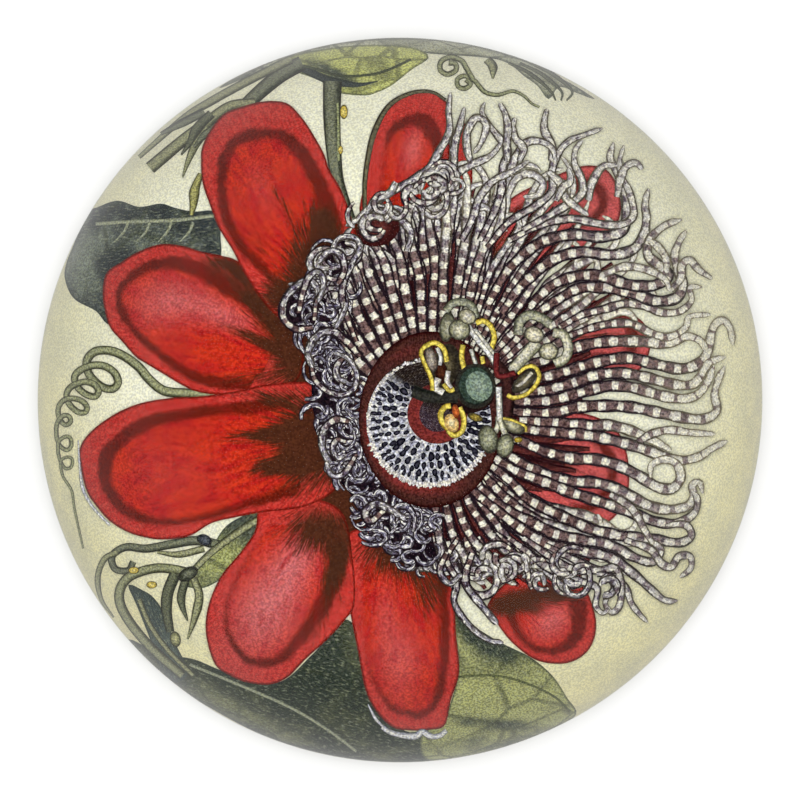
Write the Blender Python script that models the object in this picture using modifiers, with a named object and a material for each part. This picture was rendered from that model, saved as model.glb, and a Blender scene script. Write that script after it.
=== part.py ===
"""Domed glass paperweight: a solid clear dome over a printed paper disc, with a felt pad under it.

Three round pieces stacked along Z. The origin is the centre of the felt's underside,
which is what the paperweight stands on, and +Z is the axis that every piece is turned about.
Lengths are in metres.
"""

from math import asin, cos, sin, sqrt

import bpy

# The dome is the cap of a sphere, a little less than half of it.
SPHERE_RADIUS = 0.0454
GLASS_HEIGHT = 0.0366
GLASS_EDGE_ROUND = 0.0008

# Both discs lie on the dome's flat ground base, inside its rounded lower edge.
PAPER_THICKNESS = 0.0003
PAPER_INSET = 0.0007
FELT_THICKNESS = 0.0015
FELT_INSET = 0.0011
FELT_EDGE_ROUND = 0.0004

# The glue line between two neighbours.
GLUE_GAP = 0.0003

TURN_STEPS = 72
DOME_RINGS = 18
MERGE_DISTANCE = 0.00005
SHARP_ANGLE = 0.6

BASE_RADIUS = sqrt(GLASS_HEIGHT * (2 * SPHERE_RADIUS - GLASS_HEIGHT))
PAPER_BOTTOM = FELT_THICKNESS + GLUE_GAP
GLASS_BOTTOM = PAPER_BOTTOM + PAPER_THICKNESS + GLUE_GAP


def clear_scene():
    """Removes every object that the open scene already holds."""
    for old in list(bpy.data.objects):
        bpy.data.objects.remove(old, do_unlink=True)


def finish(name, colour, roughness, transmission=0.0):
    """A Principled material with the piece's own colour and polish."""
    material = bpy.data.materials.new(name)
    material.use_nodes = True
    shader = material.node_tree.nodes["Principled BSDF"]
    shader.inputs["Base Color"].default_value = (*colour, 1.0)
    shader.inputs["Roughness"].default_value = roughness
    shader.inputs["Metallic"].default_value = 0.0
    shader.inputs["Transmission Weight"].default_value = transmission
    return material


def dome_profile():
    """The dome's outline from its crown, down the sphere to the base, and in to the axis."""
    centre_height = GLASS_BOTTOM + GLASS_HEIGHT - SPHERE_RADIUS
    rim_angle = asin(BASE_RADIUS / SPHERE_RADIUS)
    outline = []
    for ring in range(DOME_RINGS + 1):
        angle = rim_angle * ring / DOME_RINGS
        outline.append((SPHERE_RADIUS * sin(angle), centre_height + SPHERE_RADIUS * cos(angle)))
    outline.append((0.0, GLASS_BOTTOM))
    return outline


def disc_profile(radius, bottom, thickness):
    """A flat disc's outline, from the middle of its top face round to the middle of its bottom."""
    top = bottom + thickness
    return [(0.0, top), (radius, top), (radius, bottom), (0.0, bottom)]


def turned(name, profile, material, collection):
    """Turns an outline of (radius, height) points about Z into one closed solid."""
    mesh = bpy.data.meshes.new(name)
    points = [(radius, 0.0, height) for radius, height in profile]
    links = [(i, i + 1) for i in range(len(points) - 1)]
    mesh.from_pydata(points, links, [])
    mesh.materials.append(material)
    piece = bpy.data.objects.new(name, mesh)
    collection.objects.link(piece)
    screw = piece.modifiers.new("Turn", "SCREW")
    screw.axis = "Z"
    screw.steps = TURN_STEPS
    screw.render_steps = TURN_STEPS
    screw.use_merge_vertices = True
    screw.merge_threshold = MERGE_DISTANCE
    screw.use_smooth_shade = True
    return piece


def round_edges(piece, width, segments):
    """Rounds the piece's corner edges, and leaves its nearly flat facets alone."""
    bevel = piece.modifiers.new("Rounded edge", "BEVEL")
    bevel.limit_method = "ANGLE"
    bevel.angle_limit = SHARP_ANGLE
    bevel.width = width
    bevel.segments = segments


def bake_modifiers(piece):
    """Applies the modifiers, then shades the turned faces smooth up to the real corners."""
    graph = bpy.context.evaluated_depsgraph_get()
    made = bpy.data.meshes.new_from_object(piece.evaluated_get(graph))
    piece.modifiers.clear()
    piece.data = made
    made.shade_smooth()
    made.set_sharp_from_angle(angle=SHARP_ANGLE)


def make_glass_dome(collection):
    glass = finish("clear_glass", (0.97, 0.98, 0.97), 0.02, transmission=1.0)
    dome = turned("glass_dome", dome_profile(), glass, collection)
    round_edges(dome, GLASS_EDGE_ROUND, 3)
    return dome


def make_printed_sheet(collection):
    paper = finish("printed_paper", (0.72, 0.69, 0.55), 0.8)
    profile = disc_profile(BASE_RADIUS - PAPER_INSET, PAPER_BOTTOM, PAPER_THICKNESS)
    return turned("printed_sheet", profile, paper, collection)


def make_felt_pad(collection):
    felt = finish("felt", (0.10, 0.16, 0.10), 0.95)
    pad = turned("felt_pad", disc_profile(BASE_RADIUS - FELT_INSET, 0.0, FELT_THICKNESS), felt, collection)
    round_edges(pad, FELT_EDGE_ROUND, 2)
    return pad


def main():
    clear_scene()
    collection = bpy.data.collections.new("domed_glass_paperweight")
    bpy.context.scene.collection.children.link(collection)
    for make_piece in (make_glass_dome, make_printed_sheet, make_felt_pad):
        bake_modifiers(make_piece(collection))


main()
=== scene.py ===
"""A domed glass paperweight over a printed passion flower, seen from straight above.

The glass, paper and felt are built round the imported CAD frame. The picture is drawn in the units
in which it is seen: percent of the dome's radius, from its centre, +x right and +y up. Each point
is then carried down through the glass to the sheet, so that the dome's own refraction puts it back
where it was drawn. The inks lie on the sheet as flat layers a few thousandths of a millimetre apart.
"""
import math

import bpy
import numpy as np
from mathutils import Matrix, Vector
from mathutils.geometry import delaunay_2d_cdt


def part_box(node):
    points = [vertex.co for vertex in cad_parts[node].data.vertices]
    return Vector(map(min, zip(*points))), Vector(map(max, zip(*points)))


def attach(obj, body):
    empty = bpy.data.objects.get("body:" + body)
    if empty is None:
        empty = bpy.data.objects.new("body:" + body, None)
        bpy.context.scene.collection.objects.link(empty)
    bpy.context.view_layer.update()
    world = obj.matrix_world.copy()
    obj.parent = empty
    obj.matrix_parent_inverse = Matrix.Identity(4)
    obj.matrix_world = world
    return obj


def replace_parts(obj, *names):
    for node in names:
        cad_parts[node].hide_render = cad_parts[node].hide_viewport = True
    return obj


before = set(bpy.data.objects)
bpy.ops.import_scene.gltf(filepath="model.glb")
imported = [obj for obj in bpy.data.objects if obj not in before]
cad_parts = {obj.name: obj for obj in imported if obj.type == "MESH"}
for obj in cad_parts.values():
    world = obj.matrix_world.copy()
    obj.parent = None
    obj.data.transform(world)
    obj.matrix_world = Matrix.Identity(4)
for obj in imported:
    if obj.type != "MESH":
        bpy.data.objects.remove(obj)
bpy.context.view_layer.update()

# --- sizes, most worked out from the frame ------------------------------------------------------
DOME_LOW, DOME_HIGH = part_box("glass_dome")
PAPER_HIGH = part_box("printed_sheet")[1]
FELT_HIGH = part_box("felt_pad")[1]
SEEN_RADIUS = DOME_HIGH.x
DOME_TOP = DOME_HIGH.z
# The glass has a rounded ground edge and is widest right above it; over that it is a sphere's cap.
EDGE_ROUND = 0.0008
WIDEST_LEVEL = DOME_LOW.z + EDGE_ROUND
CAP_HEIGHT = DOME_TOP - WIDEST_LEVEL
SPHERE_RADIUS = (SEEN_RADIUS**2 + CAP_HEIGHT**2) / (2 * CAP_HEIGHT)
SPHERE_CENTRE = DOME_TOP - SPHERE_RADIUS
# The pieces are glued: the sheet's top lies a little inside the glass, and its underside just over
# the felt, so that no air gap and no shared surface is left between them.
GLASS_BOTTOM = PAPER_HIGH.z - 0.00001
PAPER_TOP = PAPER_HIGH.z + 0.00005
PAPER_BOTTOM = FELT_HIGH.z + 0.00002
PAPER_RADIUS = SEEN_RADIUS - EDGE_ROUND + 0.0001
PAPER_BEVEL = 0.0001
FELT_RADIUS = FELT_HIGH.x
FELT_ROUND = 0.0004
# The camera's height, and the share of the picture's width that the dome takes up in it.
CAMERA_HEIGHT = 0.95
SEEN_SHARE = 0.906

GLASS_IOR = 1.5
# Under a studio light of strength LIGHT the dome shows an ink as
# VEIL + PASSED * ink / (1 - ROUND_TRIPS * ink). These three numbers were found on test renders.
LIGHT = 1.7
VEIL = 0.005
PASSED = 0.72
ROUND_TRIPS = 0.417

# The inks lie in layers of this height. Counted from the sheet, the leaves take layers 4 to 9 and
# one takes 22, the stems 20 to 34, the petals and their edges 38 to 51, and the ring and cup 120 to
# 127. The stamens start at 138, and the levels that are named here belong to the filaments.
LAYER = 0.0000025
SHADOW_LEVEL = 52.0
FILAMENT_LEVEL = 68.0
CURL_LEVEL = 106.0

rng = np.random.default_rng(7)


# --- optics -------------------------------------------------------------------------------------
def to_sheet(seen, height):
    """Where the camera's rays through the seen points meet a level inside the glass."""
    reach = np.hypot(seen[..., 0], seen[..., 1])
    turn = np.arctan2(seen[..., 1], seen[..., 0])
    across, down = np.minimum(reach, 99.9) / 100 * SEEN_RADIUS, CAMERA_HEIGHT - WIDEST_LEVEL
    length = np.hypot(across, down)
    ray_r, ray_z = across / length, -down / length
    from_centre = CAMERA_HEIGHT - SPHERE_CENTRE
    half = from_centre * ray_z
    inside = np.maximum(half**2 - from_centre**2 + SPHERE_RADIUS**2, 0)
    travelled = -half - np.sqrt(inside)
    hit_r, hit_z = travelled * ray_r, CAMERA_HEIGHT + travelled * ray_z
    normal_r, normal_z = hit_r / SPHERE_RADIUS, (hit_z - SPHERE_CENTRE) / SPHERE_RADIUS
    cosine = -(ray_r * normal_r + ray_z * normal_z)
    bent = np.sqrt(1 - (1 - cosine**2) / GLASS_IOR**2)
    through_r = ray_r / GLASS_IOR + (cosine / GLASS_IOR - bent) * normal_r
    through_z = ray_z / GLASS_IOR + (cosine / GLASS_IOR - bent) * normal_z
    sheet_r = hit_r + (height - hit_z) * through_r / through_z
    return np.stack([sheet_r * np.cos(turn), sheet_r * np.sin(turn)], -1)


# --- shading ------------------------------------------------------------------------------------
def rgb(red, green, blue):
    """A linear colour from everyday 0 to 255 numbers."""
    values = [c / 255 for c in (red, green, blue)]
    return (*[c / 12.92 if c <= 0.04045 else ((c + 0.055) / 1.055) ** 2.4 for c in values], 1.0)


def tone(red, green, blue):
    """The print colour that looks like these 0 to 255 numbers from outside the glass.

    It takes off the veil of light that the dome reflects, and allows for the light that goes round
    between the sheet and the inside of the dome before it leaves.
    """
    seen = np.maximum(np.array(rgb(red, green, blue)[:3]) - VEIL, 0.002)
    return (*(seen / (PASSED + ROUND_TRIPS * seen)), 1.0)


class Shader:
    """One Principled material, built from short calls."""

    def __init__(self, name, roughness, specular=0.0):
        self.material = bpy.data.materials.new(name)
        self.material.use_nodes = True
        self.tree = self.material.node_tree
        self.surface = self.tree.nodes["Principled BSDF"]
        self.surface.inputs["Roughness"].default_value = roughness
        self.surface.inputs["Specular IOR Level"].default_value = specular

    def feed(self, socket, value):
        if isinstance(value, bpy.types.NodeSocket):
            self.tree.links.new(value, socket)
        else:
            socket.default_value = value

    def node(self, kind, inputs=None, **settings):
        made = self.tree.nodes.new("ShaderNode" + kind)
        for key, value in settings.items():
            setattr(made, key, value)
        for key, value in (inputs or {}).items():
            self.feed(made.inputs[key], value)
        return made

    def number(self, name):
        return self.node("Attribute", attribute_name=name).outputs["Fac"]

    def colour(self, name):
        return self.node("Attribute", attribute_name=name).outputs["Color"]

    def math(self, operation, first, second=0.0):
        return self.node("Math", {0: first, 1: second}, operation=operation).outputs[0]

    def times(self, *values):
        result = values[0]
        for value in values[1:]:
            result = self.math("MULTIPLY", result, value)
        return result

    def plus(self, first, second):
        return self.math("ADD", first, second)

    def step(self, value, low, high):
        """0 below low and 1 above high, or the other way round if low is the larger."""
        inputs = {"Value": value, "From Min": low, "From Max": high}
        return self.node("MapRange", inputs, interpolation_type="SMOOTHSTEP").outputs[0]

    def mix(self, factor, first, second, blend="MIX"):
        made = self.node("Mix", data_type="RGBA", blend_type=blend)
        self.feed(made.inputs[0], factor)
        self.feed(made.inputs[6], first)
        self.feed(made.inputs[7], second)
        return made.outputs[2]

    def place(self, x, y, z=0.0):
        return self.node("CombineXYZ", {0: x, 1: y, 2: z}).outputs[0]

    def noise(self, vector, scale, detail=2.0, roughness=0.5):
        inputs = {"Vector": vector, "Scale": scale, "Detail": detail, "Roughness": roughness}
        return self.node("TexNoise", inputs).outputs[0]

    def where(self):
        return self.node("TexCoord").outputs["Object"]

    def printed(self, colour, strength=1.0):
        """Print grain: fine lighter and darker specks, some a little yellow and some a little blue."""
        specks = self.noise(self.where(), 5000, 1.0)
        tint = self.noise(self.where(), 3600, 1.0)
        dark = self.mix(self.step(specks, 0.62, 0.38), (1.12, 1.12, 1.12, 1.0), (0.50, 0.50, 0.52, 1.0))
        grainy = self.mix(strength, colour, dark, "MULTIPLY")
        warm = self.mix(self.step(tint, 0.40, 0.60), (0.80, 0.82, 1.0, 1.0), (1.0, 0.97, 0.74, 1.0))
        grainy = self.mix(0.5 * strength, grainy, warm, "MULTIPLY")
        self.tree.links.new(grainy, self.surface.inputs["Base Color"])
        return self.material


def paper_ink():
    """Cream paper that turns olive grey towards the edge, least at the top."""
    s = Shader("cream_paper", 0.8)
    reach = s.number("reach")
    clouds = s.noise(s.where(), 90, 3.0)
    cream = s.mix(s.step(clouds, 0.35, 0.65), rgb(225, 225, 200), rgb(234, 234, 211))
    olive = s.mix(s.step(s.noise(s.where(), 260, 3.0), 0.35, 0.65), rgb(217, 213, 173), rgb(231, 225, 177))
    upward = s.node("SeparateXYZ", {0: s.where()}).outputs[1]
    edge = s.step(s.plus(reach, s.times(upward, -20.0 / SEEN_RADIUS)), 68.0, 106.0)
    edge = s.plus(edge, s.times(s.plus(clouds, -0.5), 0.3))
    return s.printed(s.mix(edge, cream, olive), 0.42)


def petal_ink():
    """Red petal: a lighter rim, a dark line inside it, brush strokes, a dark base and a pink glow."""
    s = Shader("petal_red", 0.7)
    inset, along, across, seed = s.number("inset"), s.number("along"), s.number("across"), s.number("seed")
    band, base, blush = s.number("band"), s.number("base"), s.number("blush")
    strokes = s.noise(s.place(s.times(across, 2.6), s.times(along, 1.2), seed), 1.3, 4.0, 0.6)
    fibres = s.noise(s.place(s.times(across, 14.0), s.times(along, 2.5), seed), 1.4, 3.0, 0.6)
    wander = s.noise(s.place(s.times(across, 2.0), s.times(along, 3.0), seed), 1.2)
    wander = s.times(s.plus(wander, -0.5), 2.0)
    body = s.mix(s.step(strokes, 0.32, 0.66), tone(158, 30, 31), tone(190, 47, 29))
    body = s.mix(s.times(s.step(fibres, 0.5, 0.75), 0.3), body, tone(138, 27, 24))
    rim = s.mix(s.step(fibres, 0.35, 0.70), tone(172, 40, 36), tone(188, 62, 54))
    inner = s.plus(inset, wander)
    colour = s.mix(s.step(inner, -0.8, 1.4), rim, body)
    glow = s.times(blush, s.step(strokes, 0.12, 0.55))
    colour = s.mix(glow, colour, tone(197, 96, 96))
    contour = s.times(s.step(inner, -1.0, 0.5), s.step(s.math("SUBTRACT", inner, band), 1.2, -0.9))
    contour = s.times(contour, s.step(band, 0.2, 1.6), s.plus(0.68, s.times(s.step(strokes, 0.2, 0.6), 0.25)))
    colour = s.mix(contour, colour, tone(80, 28, 22))
    streaks = s.noise(s.place(s.times(across, 6.0), s.times(along, 1.1), seed), 1.7, 3.0, 0.55)
    depth = s.plus(base, s.times(s.plus(streaks, -0.5), 1.5))
    colour = s.mix(s.times(s.step(depth, 0.25, 0.85), 0.98), colour, tone(62, 38, 28))
    line = s.step(s.number("edge"), 0.85, 0.25)
    return s.printed(s.mix(s.times(line, 0.8), colour, tone(76, 24, 18)), 0.72)


def painted_ink(name="painted_line", roughness=0.7):
    """A stem, tendril or other small part: its own light and shade colours, lit from one side."""
    s = Shader(name, roughness)
    across, along, seed = s.number("across"), s.number("along"), s.number("seed")
    strokes = s.noise(s.place(s.times(across, 1.6), s.times(along, 0.45), seed), 1.3, 3.0, 0.6)
    light = s.step(s.math("ABSOLUTE", s.plus(across, 0.15)), 0.95, 0.15)
    light = s.plus(light, s.times(s.plus(strokes, -0.5), 1.5))
    colour = s.mix(light, s.colour("shade"), s.colour("paint"))
    line = s.times(s.step(s.math("ABSOLUTE", across), 0.70, 0.93), s.number("line"))
    return s.printed(s.mix(line, colour, tone(44, 42, 38)))


def leaf_ink():
    """Leaf: two greens worked into each other, a fine net of veins and a thin dark edge."""
    s = Shader("leaf_green", 0.7)
    edge, seed = s.number("edge"), s.number("seed")
    clouds = s.noise(s.where(), 170, 5.0, 0.65)
    light = s.step(s.plus(s.number("light"), s.times(s.plus(clouds, -0.5), 1.9)), 0.1, 0.9)
    colour = s.mix(light, s.colour("shade"), s.colour("paint"))
    inputs = {"Vector": s.where(), "Scale": 190.0, "Randomness": 0.9}
    cells = s.node("TexVoronoi", inputs, feature="DISTANCE_TO_EDGE")
    net = s.times(s.step(cells.outputs[0], 0.08, 0.02), s.step(clouds, 0.36, 0.55), 0.6)
    colour = s.mix(net, colour, tone(52, 58, 42))
    hatch = s.place(s.times(s.number("across"), 22.0), s.times(s.number("along"), 6.0), seed)
    hatch = s.noise(hatch, 1.0, 3.0, 0.6)
    colour = s.mix(s.times(s.step(hatch, 0.52, 0.66), 0.4), colour, tone(160, 166, 134))
    colour = s.mix(s.times(s.step(hatch, 0.46, 0.32), 0.45), colour, tone(40, 46, 40))
    return s.printed(s.mix(s.times(s.step(edge, 0.8, 0.15), 0.7), colour, tone(52, 60, 56)))


def filament_ink():
    """Filament: cream squares between dark bands, with a dark outline; the tip is cream or violet grey."""
    s = Shader("filament_bands", 0.7)
    across, along, seed = s.number("across"), s.number("along"), s.number("seed")
    reach, cool, period = s.number("reach"), s.number("cool"), s.number("period")
    side = s.math("ABSOLUTE", across)
    ragged = s.plus(s.noise(s.place(s.times(across, 0.8), along, seed), 1.1, 3.0, 0.6), -0.5)
    uneven = s.times(s.plus(s.noise(s.place(s.times(along, 0.22), seed), 1.0, 1.0), -0.5), 5.0)
    wave = s.math("SINE", s.plus(s.times(s.math("DIVIDE", along, period), 2 * math.pi), uneven))
    faded = s.step(reach, 0.42, 0.90)
    wave = s.plus(s.plus(wave, s.times(ragged, 1.3)), s.times(s.math("POWER", side, 3.0), -0.6))
    square = s.step(s.plus(wave, s.times(faded, 1.25)), 0.06, 0.34)
    brush = s.noise(s.place(s.times(across, 1.4), s.times(along, 0.6), seed), 1.4, 3.0)
    warm_tip = s.times(faded, s.math("SUBTRACT", 1.0, cool))
    cream = s.mix(warm_tip, tone(178, 170, 162), tone(206, 200, 170))
    cream = s.mix(s.step(brush, 0.34, 0.56), cream, tone(240, 236, 208))
    brown = s.mix(s.step(brush, 0.32, 0.68), tone(50, 36, 36), tone(118, 92, 88))
    brown = s.mix(s.times(faded, 0.35), brown, tone(128, 118, 104))
    colour = s.mix(square, brown, cream)
    streak = s.noise(s.place(s.times(across, 1.6), s.times(along, 0.50), seed), 1.5, 3.0, 0.6)
    gloom = s.plus(s.plus(streak, -0.5), s.times(s.step(cool, 0.5, 0.85), -0.075))
    lit = s.plus(s.times(across, -0.35), s.times(gloom, 4.0))
    violet = s.mix(s.step(lit, -0.25, 0.15), tone(92, 88, 120), tone(250, 248, 240))
    violet = s.mix(s.step(gloom, -0.13, -0.07), tone(30, 28, 42), violet)
    colour = s.mix(s.times(cool, s.step(reach, 0.25, 0.62), 0.92), colour, violet)
    shaded = s.step(s.plus(across, s.times(ragged, 0.8)), 0.1, 0.9)
    shaded = s.times(shaded, s.plus(0.65, s.times(warm_tip, -0.35)))
    colour = s.mix(shaded, colour, tone(78, 70, 70))
    edge = s.plus(side, s.times(ragged, 0.9))
    edge = s.plus(edge, s.plus(s.times(cool, 0.16), s.times(faded, -0.10)))
    line = s.step(edge, 0.54, 0.78)
    return s.printed(s.mix(line, colour, s.mix(warm_tip, tone(34, 28, 32), tone(120, 112, 88))), 0.7)


def ring_ink():
    """The maroon ring round the cup: fine radial hairs, redder where it is warm."""
    s = Shader("maroon_ring", 0.7)
    hairs = s.noise(s.place(s.times(s.number("turn"), 60.0), s.times(s.number("across"), 1.2)), 1.0, 3.0, 0.6)
    colour = s.mix(s.step(hairs, 0.3, 0.7), tone(46, 28, 26), tone(74, 44, 40))
    red = s.times(s.number("warm"), s.step(s.plus(s.number("across"), hairs), 1.1, -0.1))
    colour = s.mix(red, colour, tone(114, 44, 42))
    return s.printed(s.mix(s.step(s.number("across"), 0.5, 0.98), colour, tone(40, 16, 14)))


def cup_ink():
    """The cup inside the ring: white and blue grey threads, shaded at one side, speckled round the eye."""
    s = Shader("net_cup", 0.7)
    turn, reach, shade = s.number("turn"), s.number("reach"), s.number("shade_here")
    rough = s.noise(s.place(s.times(turn, 16.0), s.times(reach, 0.9)), 1.0, 3.0, 0.6)
    threads = s.mix(s.step(rough, 0.34, 0.52), tone(82, 80, 92), tone(176, 177, 186))
    threads = s.mix(s.step(rough, 0.52, 0.62), threads, tone(238, 238, 236))
    specks = s.noise(s.place(s.times(turn, 12.0), s.times(reach, 3.0)), 1.3, 2.0)
    eye = s.mix(s.step(specks, 0.5, 0.66), tone(44, 30, 36), tone(110, 102, 112))
    colour = s.mix(s.step(reach, 5.6, 5.0), threads, eye)
    dim = s.mix(s.step(specks, 0.52, 0.7), tone(36, 30, 28), tone(86, 80, 76))
    return s.printed(s.mix(shade, colour, dim))


# --- flat drawing -------------------------------------------------------------------------------
def smooth_path(points, count, closed=False):
    """Evenly spaced points on a smooth curve through the given ones."""
    points = np.array(points, float)
    if closed:
        points = np.concatenate([points[-1:], points, points[:2]])
    else:
        ends = [2 * points[0] - points[1]], [2 * points[-1] - points[-2]]
        points = np.concatenate([ends[0], points, ends[1]])
    t = np.linspace(0, 1, 24, endpoint=False)[:, None]
    a, b, c, d = (points[i : len(points) - 3 + i, None] for i in range(4))
    curve = 2 * b + (c - a) * t + (2 * a - 5 * b + 4 * c - d) * t**2 + (3 * b - a - 3 * c + d) * t**3
    curve = 0.5 * curve
    curve = np.concatenate([curve.reshape(-1, 2), points[-2:-1]])
    return respaced(curve, count)


def respaced(curve, count):
    """The same line of points with even spaces between them."""
    lengths = np.concatenate([[0], np.cumsum(np.hypot(*np.diff(curve, axis=0).T))])
    at = np.linspace(0, lengths[-1], count)
    return np.stack([np.interp(at, lengths, curve[:, k]) for k in (0, 1)], 1)


def along_of(path):
    """How far along the path each of its points is."""
    return np.concatenate([[0], np.cumsum(np.hypot(*np.diff(path, axis=0).T))])


class Ink:
    """Collects the flat patches of one printed piece, lowest first, then makes its mesh on the sheet."""

    def __init__(self, name, material, slot="printed_paper"):
        self.name, self.material, self.slot = name, material, slot
        self.points, self.faces, self.values, self.count = [], [], [], 0

    def add(self, points, faces, level, **values):
        """Patch of n seen points and its faces; level and every value are one number, or n of them."""
        faces = np.array(faces)
        corner, second, third = (points[faces[:, k]] for k in (0, 1, 2))
        first, last = second - corner, third - corner
        turned_over = first[:, 0] * last[:, 1] < first[:, 1] * last[:, 0]
        faces[turned_over] = faces[turned_over][:, ::-1]
        heights = PAPER_TOP + np.broadcast_to(level, len(points)) * LAYER
        self.points.append(np.column_stack([to_sheet(points, heights), heights]))
        self.faces += (faces + self.count).tolist()
        for key, value in values.items():
            is_colour = key in ("paint", "shade")
            values[key] = np.broadcast_to(value if is_colour else np.reshape(value, (-1, 1)),
                                          (len(points), 4 if is_colour else 1))
        self.values.append(values)
        self.count += len(points)

    def strip(self, grid, level, **values):
        """A patch on a grid of rows and columns; values may be given for every grid point."""
        rows, columns = grid.shape[:2]
        index = np.arange(rows * columns).reshape(rows, columns)
        quads = np.stack([index[:-1, :-1], index[1:, :-1], index[1:, 1:], index[:-1, 1:]], -1)
        flat = {key: np.reshape(value, -1) if np.ndim(value) == 2 else value for key, value in values.items()}
        rise = np.repeat(np.linspace(0, 0.3, rows), columns)
        self.add(grid.reshape(-1, 2), quads.reshape(-1, 4), level + rise, **flat)

    def make(self):
        """Makes the piece, with its values as attributes and a flat layout for baking."""
        points = np.concatenate(self.points)
        mesh = bpy.data.meshes.new(self.name)
        mesh.from_pydata(points.tolist(), [], self.faces)
        for key in self.values[0]:
            data = np.concatenate([v[key] for v in self.values]).astype(np.float32)
            kind, field = ("FLOAT", "value") if data.shape[1] == 1 else ("FLOAT_COLOR", "color")
            mesh.attributes.new(key, kind, "POINT").data.foreach_set(field, data.ravel())
        corners = np.empty(len(mesh.loops), int)
        mesh.loops.foreach_get("vertex_index", corners)
        low, size = points.min(0)[:2], np.ptp(points, axis=0)[:2].max()
        flat = 0.01 + 0.98 * (points[corners, :2] - low) / size
        mesh.uv_layers.new(name="OFBake").uv.foreach_set("vector", flat.astype(np.float32).ravel())
        mesh.materials.append(self.material)
        return riding(bpy.data.objects.new(self.name, mesh))


def riding(piece):
    """Puts a finished piece in the scene, on the one body."""
    if not piece.users_collection:
        bpy.context.scene.collection.objects.link(piece)
    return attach(piece, "root")


def ribbon_grid(path, widths):
    """A strip along a path, with three points across it."""
    tangent = np.gradient(path, axis=0)
    tangent /= np.maximum(np.hypot(*tangent.T), 1e-9)[:, None]
    normal = np.stack([-tangent[:, 1], tangent[:, 0]], 1)
    offset = np.array([-0.5, 0.0, 0.5])[None, :, None] * np.reshape(widths, (-1, 1, 1))
    return path[:, None] + normal[:, None] * offset


def stroke(ink, points, width, level, paint, shade, line=0.8, count=60, taper=(1.0, 1.0), seed=0.0):
    """A painted line: width at its middle, times taper at its ends."""
    path = points if isinstance(points, np.ndarray) else smooth_path(points, count)
    at = np.linspace(0, 1, len(path))
    widths = width * np.interp(at, [0, 0.5, 1], [taper[0], 1.0, taper[1]])
    across = np.broadcast_to([-1.0, 0.0, 1.0], (len(path), 3))
    along = np.broadcast_to(along_of(path)[:, None], (len(path), 3))
    ink.strip(
        ribbon_grid(path, widths), level,
        across=across, along=along, paint=tone(*paint), shade=tone(*shade), line=line, seed=seed,
    )


def blob(ink, centre, radii, level, paint, shade, tilt=0.0, line=0.9, seed=0.0, wobble=0.0):
    """A painted oval, such as a nectar gland or a stigma."""
    turn = np.linspace(0, 2 * math.pi, 40)
    size = 1 + wobble * np.sin(3 * turn + seed)
    x, y = radii[0] * size * np.cos(turn), radii[1] * size * np.sin(turn)
    tilt = math.radians(tilt)
    ring = np.stack([x * math.cos(tilt) - y * math.sin(tilt), x * math.sin(tilt) + y * math.cos(tilt)], 1)
    shares = np.array([1.0, 0.8, 0.5, 0.0])
    grid = np.array(centre) + ring[:, None] * shares[None, :, None]
    across = np.broadcast_to(shares, grid.shape[:2])
    along = np.broadcast_to((turn * radii[1])[:, None], grid.shape[:2])
    ink.strip(grid, level, across=across, along=along, paint=tone(*paint), shade=tone(*shade),
              line=line, seed=seed)


def distance_to(points, line):
    """How far each point is from a line of points, and how far along the line the nearest place is."""
    start, span = line[:-1], np.diff(line, axis=0)
    offset = points.reshape(-1, 1, 2) - start
    share = np.clip((offset * span).sum(-1) / np.maximum((span**2).sum(-1), 1e-9), 0, 1)
    gap = np.linalg.norm(offset - share[..., None] * span, axis=-1)
    near = gap.argmin(1)
    rows = np.arange(len(near))
    place = (near + share[rows, near]) / len(start)
    return gap[rows, near].reshape(points.shape[:-1]), place.reshape(points.shape[:-1])


def inside(points, ring):
    """Whether each point is inside a closed ring of points."""
    x, y = points[..., 0, None], points[..., 1, None]
    x0, y0 = ring[:, 0], ring[:, 1]
    x1, y1 = np.roll(x0, -1), np.roll(y0, -1)
    rise = np.where(y1 == y0, 1e-9, y1 - y0)
    crosses = ((y0 > y) != (y1 > y)) & (x < x0 + (y - y0) * (x1 - x0) / rise)
    return crosses.sum(-1) % 2 == 1


def spots(points, places):
    """Soft oval patches added up; each is x, y, half length, half width, tilt in degrees and strength."""
    total = np.zeros(points.shape[:-1])
    for x, y, length, width, tilt, strength in places:
        turn = math.radians(tilt)
        dx, dy = points[..., 0] - x, points[..., 1] - y
        u = (dx * math.cos(turn) + dy * math.sin(turn)) / length
        v = (dy * math.cos(turn) - dx * math.sin(turn)) / width
        total += strength * np.exp(-(u**2 + v**2))
    return total


def filled(outline, spacing=0.95):
    """Points and faces that fill a smooth outline evenly, and the outline itself."""
    rough = smooth_path(outline, 400, closed=True)
    ring = smooth_path(outline, int(along_of(rough)[-1] / spacing), closed=True)
    low, high = ring.min(0), ring.max(0)
    x, y = np.meshgrid(np.arange(low[0], high[0], spacing), np.arange(low[1], high[1], spacing * 0.87))
    x[1::2] += spacing / 2
    dots = np.stack([x.ravel(), y.ravel()], 1)
    dots = dots[inside(dots, ring[:-1]) & (distance_to(dots, ring)[0] > spacing * 0.55)]
    wanted = [Vector(p) for p in np.concatenate([ring[:-1], dots])]
    made = delaunay_2d_cdt(wanted, [], [list(range(len(ring) - 1))], 1, 1e-6)
    return np.array([tuple(p) for p in made[0]]), made[2], ring


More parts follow.
